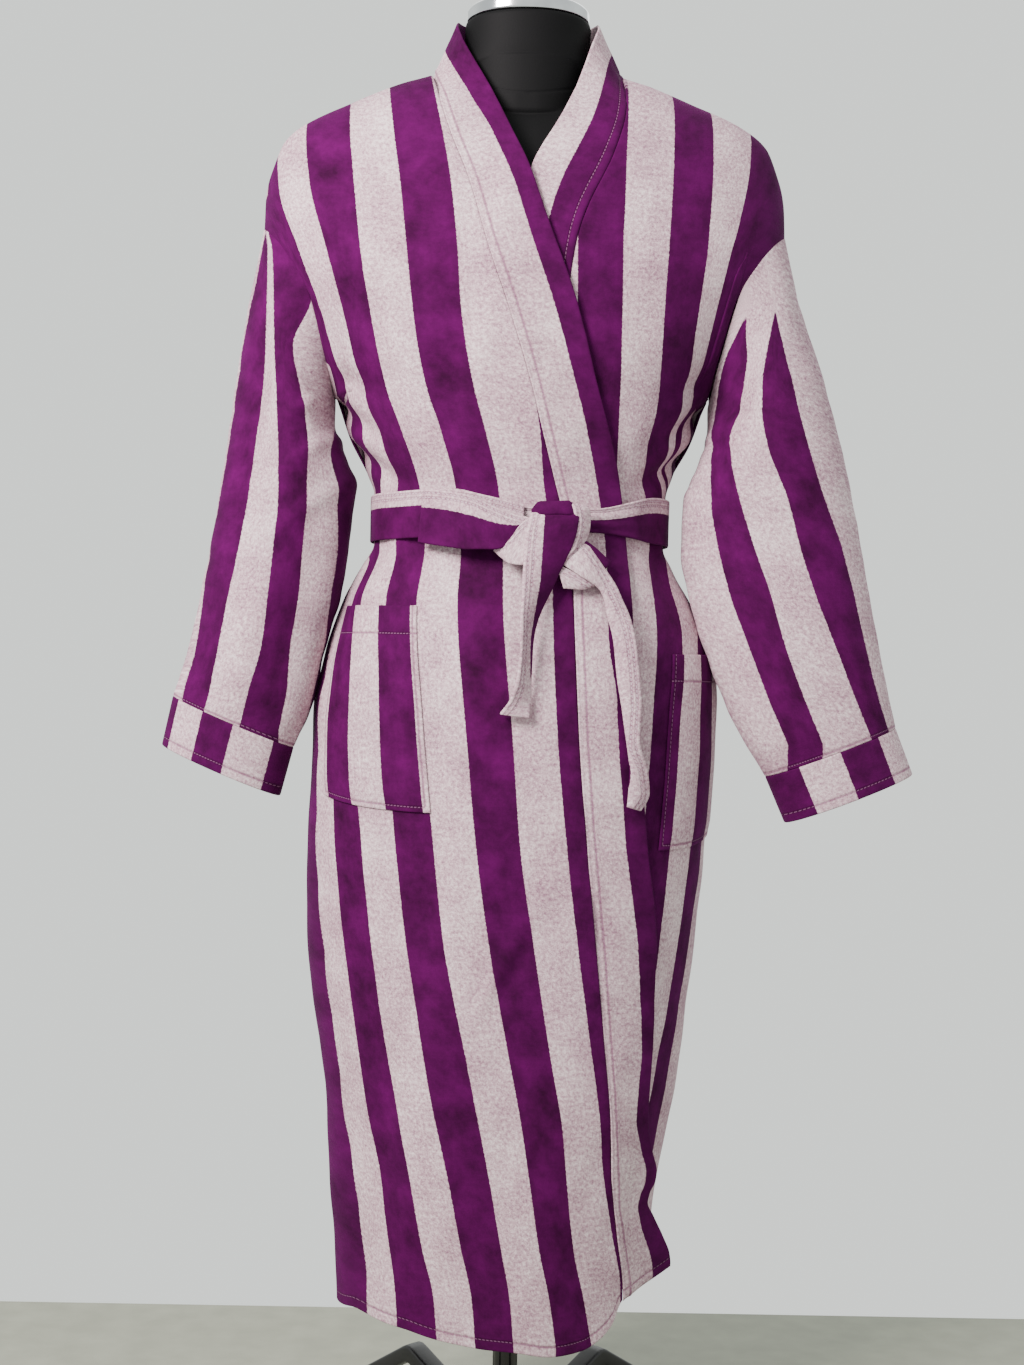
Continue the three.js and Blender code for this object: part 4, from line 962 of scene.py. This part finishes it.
def start_material(name):
    """A new material and its node tree, still empty."""
    made = bpy.data.materials.new(name)
    made.use_nodes = True
    made.node_tree.nodes.clear()
    return made, made.node_tree


def noise(tree, place, size, detail, roughness=0.5):
    """Noise whose coarsest grain has a size in metres."""
    feeds = {"Vector": place, "Scale": 1 / size, "Detail": detail, "Roughness": roughness}
    return node(tree, "ShaderNodeTexNoise", feeds).outputs[0]


def ramp(tree, value, *stops):
    """A colour read between stops, each a value and an sRGB hex value."""
    made = node(tree, "ShaderNodeValToRGB", {0: value})
    elements = made.color_ramp.elements
    elements[0].position = stops[0][0]
    elements[1].position = stops[-1][0]
    for stop in stops[1:-1]:
        elements.new(stop[0])
    for element, stop in zip(elements, stops):
        element.color = linear(stop[1])
    return made.outputs[0]


def blend(tree, share, a, b, kind="MIX"):
    """A colour between two others."""
    feeds = {0: share, 6: a, 7: b}
    return node(tree, "ShaderNodeMix", feeds, data_type="RGBA", blend_type=kind).outputs[2]


def read_mark(tree, name):
    """One of the marks of a wall."""
    return node(tree, "ShaderNodeAttribute", attribute_name=name).outputs["Fac"]


def finish_material(tree, feeds):
    """Adds the surface shader with its inputs and links it to the output."""
    shader = node(tree, "ShaderNodeBsdfPrincipled", feeds)
    node(tree, "ShaderNodeOutputMaterial", {"Surface": shader.outputs[0]})


def velvet_stripe(name, thread_hex):
    """Cut-pile cotton velvet towelling in woven stripes. The dark stripes are a deep even pile with
    brushed patches of 45 mm. The pale ones are a melange of pale and mauve yarn: specks of 3.6 mm
    and finer, weft lines 3.2 mm apart, and clouds of 75 mm. A row of stitches draws the pile in
    over 2 mm to each side, darkened there by painted shade, and shows a thread every 4.2 mm."""
    material, tree = start_material(name)
    place = node(tree, "ShaderNodeUVMap", uv_map="Flat").outputs[0]
    split = node(tree, "ShaderNodeSeparateXYZ", {0: place})
    ragged = math(tree, "MULTIPLY_ADD", noise(tree, place, 0.003, 2.0), 1.8, -0.9)
    edge = math(tree, "ADD", read_mark(tree, "stripe"), ragged)
    dark = node(tree, "ShaderNodeMapRange", {0: edge, 1: -0.35, 2: 0.35}).outputs[0]

    rows = [math(tree, "ABSOLUTE", read_mark(tree, mark)) for mark in ("stitch_a", "stitch_b")]
    near = math(tree, "MINIMUM", *rows)
    groove_and_painted_shade = node(tree, "ShaderNodeMapRange", {0: near, 1: 2.0, 2: 0.3}).outputs[0]
    beat = math(tree, "DIVIDE", math(tree, "ADD", split.outputs[0], split.outputs[1]), 0.0042)
    dash = math(tree, "LESS_THAN", math(tree, "FRACT", beat), 0.66)
    thread = math(tree, "MULTIPLY", math(tree, "LESS_THAN", near, 0.5), dash)
    thread = math(tree, "MULTIPLY", thread, 0.45)

    speck = noise(tree, place, 0.0036, 5.0, 0.85)
    weft_place = node(tree, "ShaderNodeMapping", {"Vector": place, "Scale": (0.12, 1.0, 1.0)})
    weft = noise(tree, weft_place.outputs[0], 0.0032, 2.0)
    cloud = noise(tree, place, 0.075, 4.0, 0.65)
    mauve = math(tree, "MULTIPLY_ADD", speck, 0.9, math(tree, "MULTIPLY", weft, 0.1))
    mauve = math(tree, "ADD", mauve, math(tree, "MULTIPLY_ADD", cloud, 0.34, -0.17))
    pale = ramp(tree, mauve, (0.36, "#d4c5c6"), (0.5, "#b0949c"), (0.66, "#7c576a"))
    nap = noise(tree, place, 0.045, 6.0, 0.7)
    deep = ramp(tree, nap, (0.25, "#20001a"), (0.78, "#52004a"))

    colour = blend(tree, dark, pale, deep)
    # Painted shade: the groove beside each row of stitches is multiplied darker by #c4b0bc
    colour = blend(tree, groove_and_painted_shade, colour, linear("#c4b0bc"), "MULTIPLY")
    colour = blend(tree, thread, colour, linear(thread_hex))
    pile = math(tree, "MULTIPLY_ADD", speck, 0.5, math(tree, "MULTIPLY", weft, 0.35))
    height = math(tree, "MULTIPLY_ADD", groove_and_painted_shade, -0.8, pile)
    height = math(tree, "ADD", height, math(tree, "MULTIPLY", thread, 0.5))
    relief = node(tree, "ShaderNodeBump", {"Height": height, "Strength": 0.5, "Distance": 0.0009})
    feeds = {
        "Base Color": colour,
        "Roughness": math(tree, "MULTIPLY_ADD", speck, 0.15, 0.8),
        "Normal": relief.outputs[0],
        "Specular IOR Level": 0.08,
        "Sheen Weight": 0.08,
        "Sheen Roughness": 0.5,
        "Sheen Tint": linear("#b24aa2"),
    }
    finish_material(tree, feeds)
    return material


def plain_material(name, hex_low, hex_high, grain_mm, rough, relief_mm, **sockets):
    """A finish of one colour with its own grain: noise of the grain's size drives a small change
    of colour, of roughness and of height."""
    material, tree = start_material(name)
    place = node(tree, "ShaderNodeTexCoord").outputs["Object"]
    grain = noise(tree, place, grain_mm / 1000, 4.0)
    relief = {"Height": grain, "Strength": 0.5, "Distance": relief_mm / 1000}
    feeds = {
        "Base Color": ramp(tree, grain, (0.35, hex_low), (0.7, hex_high)),
        "Roughness": math(tree, "MULTIPLY_ADD", grain, 0.12, rough - 0.06),
        "Normal": node(tree, "ShaderNodeBump", relief).outputs[0],
    }
    feeds.update({key.replace("_", " "): value for key, value in sockets.items()})
    finish_material(tree, feeds)
    return material


VELVET = velvet_stripe("cotton_velvet_stripe", "#8f6283")
# The belt's rows of stitches are in pale thread
VELVET_PALE_THREAD = velvet_stripe("cotton_velvet_stripe_pale_thread", "#d9c6d0")
# Stretch jersey over the form: a matt knit with ribs under a millimetre
JERSEY = plain_material(
    "stretch_jersey_black", "#000001", "#030304", 1.1, 0.7, 0.2, Specular_IOR_Level=0.15
)
# Polished chrome plate: a mirror with faint smears
CHROME = plain_material("chrome_plate", "#b9bcc0", "#d6d8da", 30.0, 0.14, 0.02, Metallic=1.0)
# Powder coat on steel: fine orange peel
POWDER = plain_material("black_powder_coat", "#0a0a0c", "#141417", 1.4, 0.42, 0.08)
# Gloss black enamel on the steel pole
ENAMEL = plain_material("black_gloss_enamel", "#060607", "#0b0b0c", 12.0, 0.16, 0.02, Coat_Weight=0.3)
# Moulded rubber feet
RUBBER = plain_material("black_rubber", "#070707", "#101010", 2.0, 0.8, 0.1)


def dress(piece, node_name, material=VELVET):
    """Gives a piece its finish and its body, and hides the node that it stands for."""
    piece.data.materials.append(material)
    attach(piece, "root")
    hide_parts(node_name)
    return piece


def uneven(x, z):
    """Soft unevenness that the fronts, the bands and the pockets share, so that their layers stay
    apart: long upright waves and short shallow ones, faded under the belt and at the shoulders."""
    relief = 2.0 * waves(x, z * 0.4, 105, 11) + 0.6 * waves(x, z * 0.6, 40, 12)
    away_from_belt = smooth((np.abs(z - BELT_HEIGHT) - 24) / 50)
    return relief * away_from_belt * mix(1, 0.3, smooth((z - 1120) / 90))


def front_piece(name, threads, side):
    """A front with its soft unevenness. The upper one has a slanting crease 2.2 mm high in its
    skirt, with a hollow of 1.6 mm beside it. By the armhole the cloth stays inside the outermost
    dark stripe, half a stripe from its edges."""
    points, flat = front_grid(threads, side)
    u, v = flat[..., 0], flat[..., 1]
    relief = uneven(points[..., 0], points[..., 2])
    if side < 0:
        line = (u + 45) * 0.8 - (v - 500) * 0.6
        relief = relief + 2.2 * bump(line, 0, 7) * bump(v, 510, 45)
        relief = relief - 1.6 * bump(line, 13, 9) * bump(v, 505, 50)
        stripe = stripe_depth(-u)
        by_armhole = (u < -205) * smooth((v - 1085) / 12) * smooth((1262 - v) / 12)
    else:
        stripe = stripe_depth(u - DARK - 1)
        by_armhole = (u > 160) * smooth((v - 1050) / 12)
    stripe = mix(stripe, DARK / 2, by_armhole)
    cloth = wall(name, push(points, relief), flat, stripe=stripe, stitch_a=v - v[0] - HEM_ROW)
    return dress(cloth, name)


front_right = front_piece("front_right", UPPER, -1)
front_left = front_piece("front_left", LOWER, 1)

points, flat = back_grid()
u, v = flat[..., 0], flat[..., 1]
points = push(points, 1.3 * waves(u, v * 0.4, 120, 31))
cloth = wall("back_panel", points, flat, stripe=stripe_depth(u), stitch_a=v - v[0] - HEM_ROW)
back_panel = dress(cloth, "back_panel")


def band_piece(name, threads, edge, side, lift, seed):
    """A band with its fold at the free edge and its stripe split. Beside the collar seam runs a
    ridge 0.9 mm high, and then a groove as deep under its row of stitches."""
    points, share, length = band_grid(threads, edge, side, lift)
    z = points[..., 2]
    gap = share * BAND_WIDTH
    ridge = 0.9 * bump(gap, 4, 3) - 0.9 * bump(gap, BAND_ROW, 1.8)
    relief = (ridge + 0.4 * waves(gap, length, 30, seed)) * smooth(gap / 2)
    relief = relief + uneven(points[..., 0], z) * (1 - smooth((z - 1280) / 60))
    if side < 0:
        split = read(RIGHT_BAND_SPLIT, "share", z)
        edge_place = STRIPE + (1 - split) * BAND_WIDTH
        place = across(share, [0 * z, split, 1 + 0 * z], [50, STRIPE, edge_place])
        stripe = place - STRIPE
    else:
        place = 13 + gap
        stripe = DARK - place
    marks = {"stripe": stripe, "stitch_a": gap - BAND_ROW, "stitch_b": z - z[-1] - HEM_ROW}
    flat = np.stack([place, length], -1)
    return dress(wall(name, push(points, relief), flat, BAND_WALL, **marks), name)


band_right = band_piece("band_right", UPPER, UPPER_EDGE, -1, lambda x, z: overlap(x, z) + 0.2, 41)
band_left = band_piece("band_left", LOWER, LOWER_EDGE, 1, lambda x, z: 0 * x, 51)


def sleeve_creases(points, turn, walk, seed):
    """Relief of a sleeve: long soft folds that run down it, three slanting creases below the
    underarm, and the hollow that the weight of the arm's cloth pulls from shoulder to underarm."""
    x, z = np.abs(points[..., 0]), points[..., 2]
    inward = half_round(turn) + 0 * walk
    free = smooth((walk - 0.08) / 0.15)
    long_folds = 2.4 * waves(turn * 1.4 + 60 * walk, walk * 120, 95, seed)
    long_folds = long_folds + 0.5 * waves(x, z, 34, seed + 1)
    slant = z + 0.75 * (x - 200)
    drawn = smooth((inward - 0.25) / 0.5)
    creases = bump(slant, 1052, 8) + 0.8 * bump(slant, 1004, 9) + 0.6 * bump(slant, 950, 10)
    pulled = bump(z - 1140, 1.9 * (x - 228), 17) * smooth((1210 - z) / 60) * smooth((z - 1060) / 40)
    return free * (long_folds - 3.2 * drawn * creases - 2.2 * pulled)


# Heights of the row of stitches below each pocket's top
POCKET_ROW = {"right": 825.0, "left": 784.0}
for name, seed in (("right", 61), ("left", 71)):
    points, turn, walk = sleeve_grid(name)
    flat, stripe = sleeve_flat(name, points, turn)
    relief = sleeve_creases(points, turn, walk, seed) * smooth((1 - walk) / 0.06)
    row = (1 - walk) * SLEEVE_LENGTH - 3 + 0 * turn
    points = push(points, relief, True)
    cloth = wall("sleeve_" + name, points, flat, ring=True, stripe=stripe, stitch_a=row)
    dress(cloth, "sleeve_" + name)

    points, flat = cuff_grid(name)
    stripe = stripe_depth(flat[..., 0])
    row = flat[..., 1] - CUFF_ROW
    cloth = wall("cuff_" + name, points, flat, ring=True, stripe=stripe, stitch_a=row)
    dress(cloth, "cuff_" + name)

    points, at, z = pocket_grid(name)
    points = push(points, uneven(points[..., 0], z))
    place = -at - 98 if name == "right" else at - DARK + 2
    points = push(points, -0.5 * bump(z, POCKET_ROW[name], 1.3))
    rim = np.minimum(np.minimum(at - at.min(), at.max() - at), z - z[0])
    marks = {"stripe": stripe_depth(place), "stitch_a": z - POCKET_ROW[name], "stitch_b": rim - 5}
    cloth = wall("pocket_" + name, points, np.stack([place, z], -1), 1.8, **marks)
    dress(cloth, "pocket_" + name)


def belt_rows(beside):
    """Marks of the belt's two rows of stitches, at a distance from its edge."""
    return {"stitch_a": beside - BELT_ROWS[0], "stitch_b": beside - BELT_ROWS[1]}


points, up, angle, pinch = belt_waist_grid()
crease = 1.4 * pinch * (0.5 + 0.5 * np.cos(2 * np.pi * up * 3))
round_waist = angle * 2.2
points = push(points, 0.6 * waves(round_waist, up * 40, 50, 81) + crease, True)
down = (1 - up) * BELT_WIDTH + 0 * angle
flat = np.stack([down, round_waist + 0 * up], -1)
marks = belt_rows(down)
marks["stripe"] = down - mix(15, 21, pinch)
cloth = wall("belt_waist", points, flat, BELT_WALL, True, **marks)
belt_waist = dress(cloth, "belt_waist", VELVET_PALE_THREAD)

ribbons = {}
for name, node_name, length, under in (
    ("belt_loop", "belt_loop", 250, 0.0),
    ("belt_tail_a", "belt_tail_a", 200, 0.3),
    ("belt_tail_b", "belt_tail_b", 262, 0.75),
    ("belt_wrap", "belt_knot", 60, 0.8),
    ("belt_fold", "belt_knot", 50, 0.0),
    ("belt_hump", "belt_knot", 48, 0.8),
    ("belt_flap", "belt_knot", 36, 0.8),
    ("belt_tip", "belt_knot", 28, 0.0),
):
    points, over, walk = ribbon_grid(name, length, under)
    seed = 90 + len(ribbons)
    points = push(points, 0.5 * waves(over * 40, walk * length, 30, seed) * smooth(walk / 0.1))
    first = np.argmin(np.abs(over[0]))
    wide = np.linalg.norm(points[:, -1] - points[:, first], axis=-1)[:, None]
    beside = over * wide
    marks = {"stripe": beside - read(RIBBON_SPLIT[name], "share", walk) * wide}
    if name not in ("belt_hump", "belt_flap"):
        marks.update(belt_rows(beside))
    cloth = wall(name, points, np.stack([beside, walk * length], -1), 2.4, **marks)
    ribbons[name] = dress(cloth, node_name, VELVET_PALE_THREAD)

points, flat, swell = knot_core_grid()
core = dress(wall("belt_knot_core", points, flat, swell, stripe=9.0 + 0 * swell), "belt_knot")


def closed_rings(name, rings):
    """A closed solid of rings, each joined to the next by two triangles a side, with a fan over the
    first and the last ring."""
    rings = np.asarray(rings)
    count, sides = rings.shape[:2]
    points = np.concatenate([rings.reshape(-1, 3), rings[:1].mean(1), rings[-1:].mean(1)])
    index = np.arange(count * sides).reshape(count, sides)
    near, far = index[:-1], index[1:]
    near_next, far_next = np.roll(near, -1, 1), np.roll(far, -1, 1)
    ends = np.full(sides, count * sides)
    faces = [
        np.stack([near, near_next, far_next], -1).reshape(-1, 3),
        np.stack([near, far_next, far], -1).reshape(-1, 3),
        np.stack([np.roll(index[0], -1), index[0], ends], -1),
        np.stack([index[-1], np.roll(index[-1], -1), ends + 1], -1),
    ]
    return mesh_object(name, points, outward(points, np.concatenate(faces)))


def turned(name, profile, sides=72, centre=(0.0, 0.0)):
    """A turned solid: the radius of its profile carried round an upright axis."""
    radius, z = np.array(profile, float).T
    turn = round_angles(sides)
    x = centre[0] + radius[:, None] * np.cos(turn)
    y = centre[1] + radius[:, None] * np.sin(turn)
    return closed_rings(name, xyz(x, y, z[:, None]))


def rounded_rod(radius, bottom, top, edge):
    """The profile of a rod whose rims are rounded by quarter circles of the edge's radius."""
    quarter = np.radians([0, 22, 45, 68, 90])
    low = [(radius - edge + edge * np.sin(a), bottom + edge - edge * np.cos(a)) for a in quarter]
    high = [(r, top + bottom - z) for r, z in reversed(low)]
    inner = radius - edge - 0.5
    return [(inner, bottom)] + low + high + [(inner, top)]


FORM_ROUND = 2.15
FORM = table(
    "z half front back",
    [700, 138, 86, 94], [701, 146, 92, 100], [704, 153, 97, 105], [712, 160, 102, 110],
    [745, 167, 106, 114], [785, 164, 103, 112], [830, 152, 95, 102], [880, 138, 87, 88],
    [920, 130, 83, 78], [950, 129, 83, 77], [1000, 136, 90, 82], [1060, 146, 103, 90],
    [1120, 152, 111, 95], [1180, 158, 104, 96], [1230, 166, 92, 90], [1275, 172, 80, 78],
    [1305, 175, 68, 68], [1325, 174, 58, 59], [1340, 173, 48, 50], [1352, 163.4, 38, 42],
    [1362, 143.6, 33, 38], [1370, 111, 32, 40], [1377, 86, 38, 46], [1384, 74, 48, 54],
    [1392, 68, 54, 59], [1406, 64, 55, 58], [1418, 62.5, 55, 57], [1430, 62.8, 55, 57],
    [1434.5, 62, 54.5, 56.5], [1436, 60, 52.5, 54.5],
)
CAP = table(
    "z half front back",
    [1436.6, 58, 51, 53], [1437.6, 60.4, 53.4, 55.4], [1439, 61, 54, 56], [1446, 61, 54, 56],
    [1450, 58, 51, 53], [1456, 40, 36, 38], [1461, 16, 15, 15],
)


def rounded(angle, power):
    """East and north on the curve |x| ** power + |y| ** power = 1, at an angle in radians."""
    east = np.sign(np.cos(angle)) * np.abs(np.cos(angle)) ** (2 / power)
    north = np.sign(np.sin(angle)) * np.abs(np.sin(angle)) ** (2 / power)
    return east, north


def form_rings(source, heights, sides):
    """Rings of a body with a half width and a front and back depth at each height, on the curve
    |x| ** 2.15 + |y| ** 2.15 = 1. The neck, 128 mm wide and 110 mm deep, goes down into the top of
    the torso, and a groove 0.7 mm deep runs along each seam of the cover."""
    turn = round_angles(sides)[None, :]
    z = np.asarray(heights, float)[:, None]
    east, north = rounded(turn, FORM_ROUND)
    front = north < 0
    x = read(source, "half", z) * east
    y = np.where(front, read(source, "front", z), read(source, "back", z)) * north
    root = 55 * np.clip(1 - np.abs(x / 64) ** FORM_ROUND, 0, 1) ** (1 / FORM_ROUND)
    root = np.where(z < 1392, root * smooth((z - 1290) / 50), 0)
    y = np.where(np.abs(y) < root, np.where(front, -root, root), y)
    neck_seam = np.where(front, bump(z, 1354 + 0.004 * x * x, 0.9), bump(z, 1384, 0.9))
    upright_seam = bump(x, 0, 0.9) * np.where(front, z < 1354, z < 1384)
    sunk = 1 - 0.7 * np.maximum(neck_seam, upright_seam) / np.hypot(x, y)
    return xyz(x * sunk, y * sunk, z)


# Rings close together at the rims and at the neck's seams
low = [700, 700.4, 701, 702.4, 704, 707]
high = [1434.5, 1435.5, 1436]
levels = np.concatenate([low, np.linspace(712, 1300, 90), np.arange(1304, 1433, 1.2), high])
form = closed_rings("form_cover", form_rings(FORM, levels, 176))
dress(form, "form_torso", JERSEY)
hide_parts("form_neck")
levels = np.concatenate([[1436.6, 1437, 1437.6, 1438.4, 1439.2], np.linspace(1441, 1461, 20)])
cap = closed_rings("neck_cap_dome", form_rings(CAP, levels, 96))
dress(cap, "neck_cap", CHROME)

pole = turned("stand_pole", rounded_rod(12.5, 52.3, 699.7, 0.8))
dress(pole, "pole", ENAMEL)
hub = turned("stand_hub", rounded_rod(46, 0, 52, 5))
dress(hub, "base_hub", POWDER)

# The legs: where they start and end, the ridge of their top line, and their section, which
# narrows to a share of its width and height at the foot
LEG_START = 46.3
LEG_REACH = 265.0
LEG_LEVEL = 34.0
RIDGE_AT = 135.0
RIDGE_Z = 78.0
LEG_ROOT_Z = 34.0
LEG_END_Z = 20.3
LEG_HALF_WIDE = 13.0
LEG_HALF_HIGH = 10.0
LEG_NARROW = 0.72
LEG_SLIM = 0.8
FOOT_RADIUS = 19.0
FOOT_TOP = 12.0


def leg_rings(turn, sides=28):
    """A leg of the base: square sections with round corners, along a straight climb from the hub to
    a ridge and a straight fall to its level end on the foot, narrower towards that rounded end."""
    at_root = [0, 0.003, 0.008]
    at_tip = [0.975, 0.985, 0.993, 0.998, 1]
    t = np.concatenate([at_root, np.linspace(0.02, 0.96, 44), at_tip])[:, None]
    r = mix(LEG_START, LEG_REACH, t)
    wide = LEG_HALF_WIDE * mix(1, LEG_NARROW, t)
    high = LEG_HALF_HIGH * mix(1, LEG_SLIM, t)
    rise = mix(LEG_ROOT_Z, RIDGE_Z, (r - LEG_START) / (RIDGE_AT - LEG_START))
    fall = mix(RIDGE_Z, LEG_END_Z, (r - RIDGE_AT) / (LEG_REACH - LEG_LEVEL - RIDGE_AT))
    middle = np.maximum(np.minimum(rise, fall), FOOT_TOP + 0.4 + high) - 1.2 * bump(r, RIDGE_AT, 3)
    end = np.sqrt(np.clip(1 - np.clip((r - LEG_REACH + 9) / 9.2, 0, 1) ** 2, 0, 1))
    end = end * np.interp(t, [0, 0.008], [0.93, 1])
    east, north = rounded(round_angles(sides)[None, :], 2 / 0.3)
    beside = east * wide * end
    x = r * np.cos(turn) - beside * np.sin(turn)
    y = r * np.sin(turn) + beside * np.cos(turn)
    return xyz(x, y, middle + north * high * end)


for i in range(4):
    turn = np.radians(45 + 90 * i)
    number = str(i + 1)
    leg = closed_rings("stand_leg_" + number, leg_rings(turn))
    dress(leg, "base_leg_" + number, POWDER)
    out = LEG_REACH - 0.6 * FOOT_RADIUS
    centre = (out * np.cos(turn), out * np.sin(turn))
    foot = turned("stand_foot_" + number, rounded_rod(FOOT_RADIUS, 0, FOOT_TOP, 2.5), 56, centre)
    dress(foot, "base_foot_" + number, RUBBER)

# The collar under the torso: a ring with small chamfers, round the pole and clear of it
half_section = np.array(
    [
        (13.3, 640), (19, 640), (19.7, 640.3), (20, 641), (20, 671),
        (19.7, 671.7), (19, 672), (13.3, 672), (12.8, 671.5), (12.8, 640.5),
    ]
)
turn = round_angles(72)[:, None]
points = xyz(half_section[:, 0] * np.cos(turn), half_section[:, 0] * np.sin(turn), half_section[:, 1])
index = np.arange(turn.size * len(half_section)).reshape(points.shape[:2])
right, ahead = np.roll(index, -1, 1), np.roll(index, -1, 0)
faces = np.stack([index, right, np.roll(right, -1, 0), ahead], -1).reshape(-1, 4)
points = points.reshape(-1, 3)
collar = mesh_object("stand_collar", points, outward(points, faces))
dress(collar, "pole_collar", ENAMEL)

# Floor, light and camera
FLOOR_BACK = 474
corners = [[-1500, -900, 0], [1500, -900, 0], [1500, FLOOR_BACK, 0], [-1500, FLOOR_BACK, 0]]
ground = mesh_object("floor", np.array(corners, float), [[0, 1, 2, 3]])
ground.data.materials.append(plain_material("matt_floor", "#85887a", "#8f9283", 40.0, 0.8, 0.02))

world = bpy.data.worlds.new("studio")
bpy.context.scene.world = world
world.use_nodes = True
background = world.node_tree.nodes["Background"]
background.inputs["Color"].default_value = linear("#d8dcd9")
background.inputs["Strength"].default_value = 1.62


def soft_light(name, place, aim, size, power, hex_value):
    """A square area light that faces its aim."""
    data = bpy.data.lights.new(name, "AREA")
    data.size = size
    data.energy = power
    data.color = linear(hex_value)[:3]
    lamp = bpy.data.objects.new(name, data)
    lamp.location = place
    lamp.rotation_euler = (Vector(aim) - Vector(place)).to_track_quat("-Z", "Y").to_euler()
    link(lamp)


soft_light("window_left", (-1.2, -1.5, 1.9), (-0.05, 0, 1.1), 0.8, 120, "#fff6f6")
soft_light("back_light", (0.5, 2.4, 2.2), (0, 0, 0.9), 2.0, 20, "#ffffff")

ROLL = np.radians(-1.0)
FOCAL_PIXELS = 1950
PICTURE_PIXELS = 1365
data = bpy.data.cameras.new("camera")
data.sensor_width = 36.0
data.lens = 36.0 * FOCAL_PIXELS / PICTURE_PIXELS
camera = bpy.data.objects.new("camera", data)
camera.location = [value / 1000 for value in EYE]
camera.rotation_euler = (np.pi / 2, ROLL, 0)
link(camera)
bpy.context.scene.camera = camera
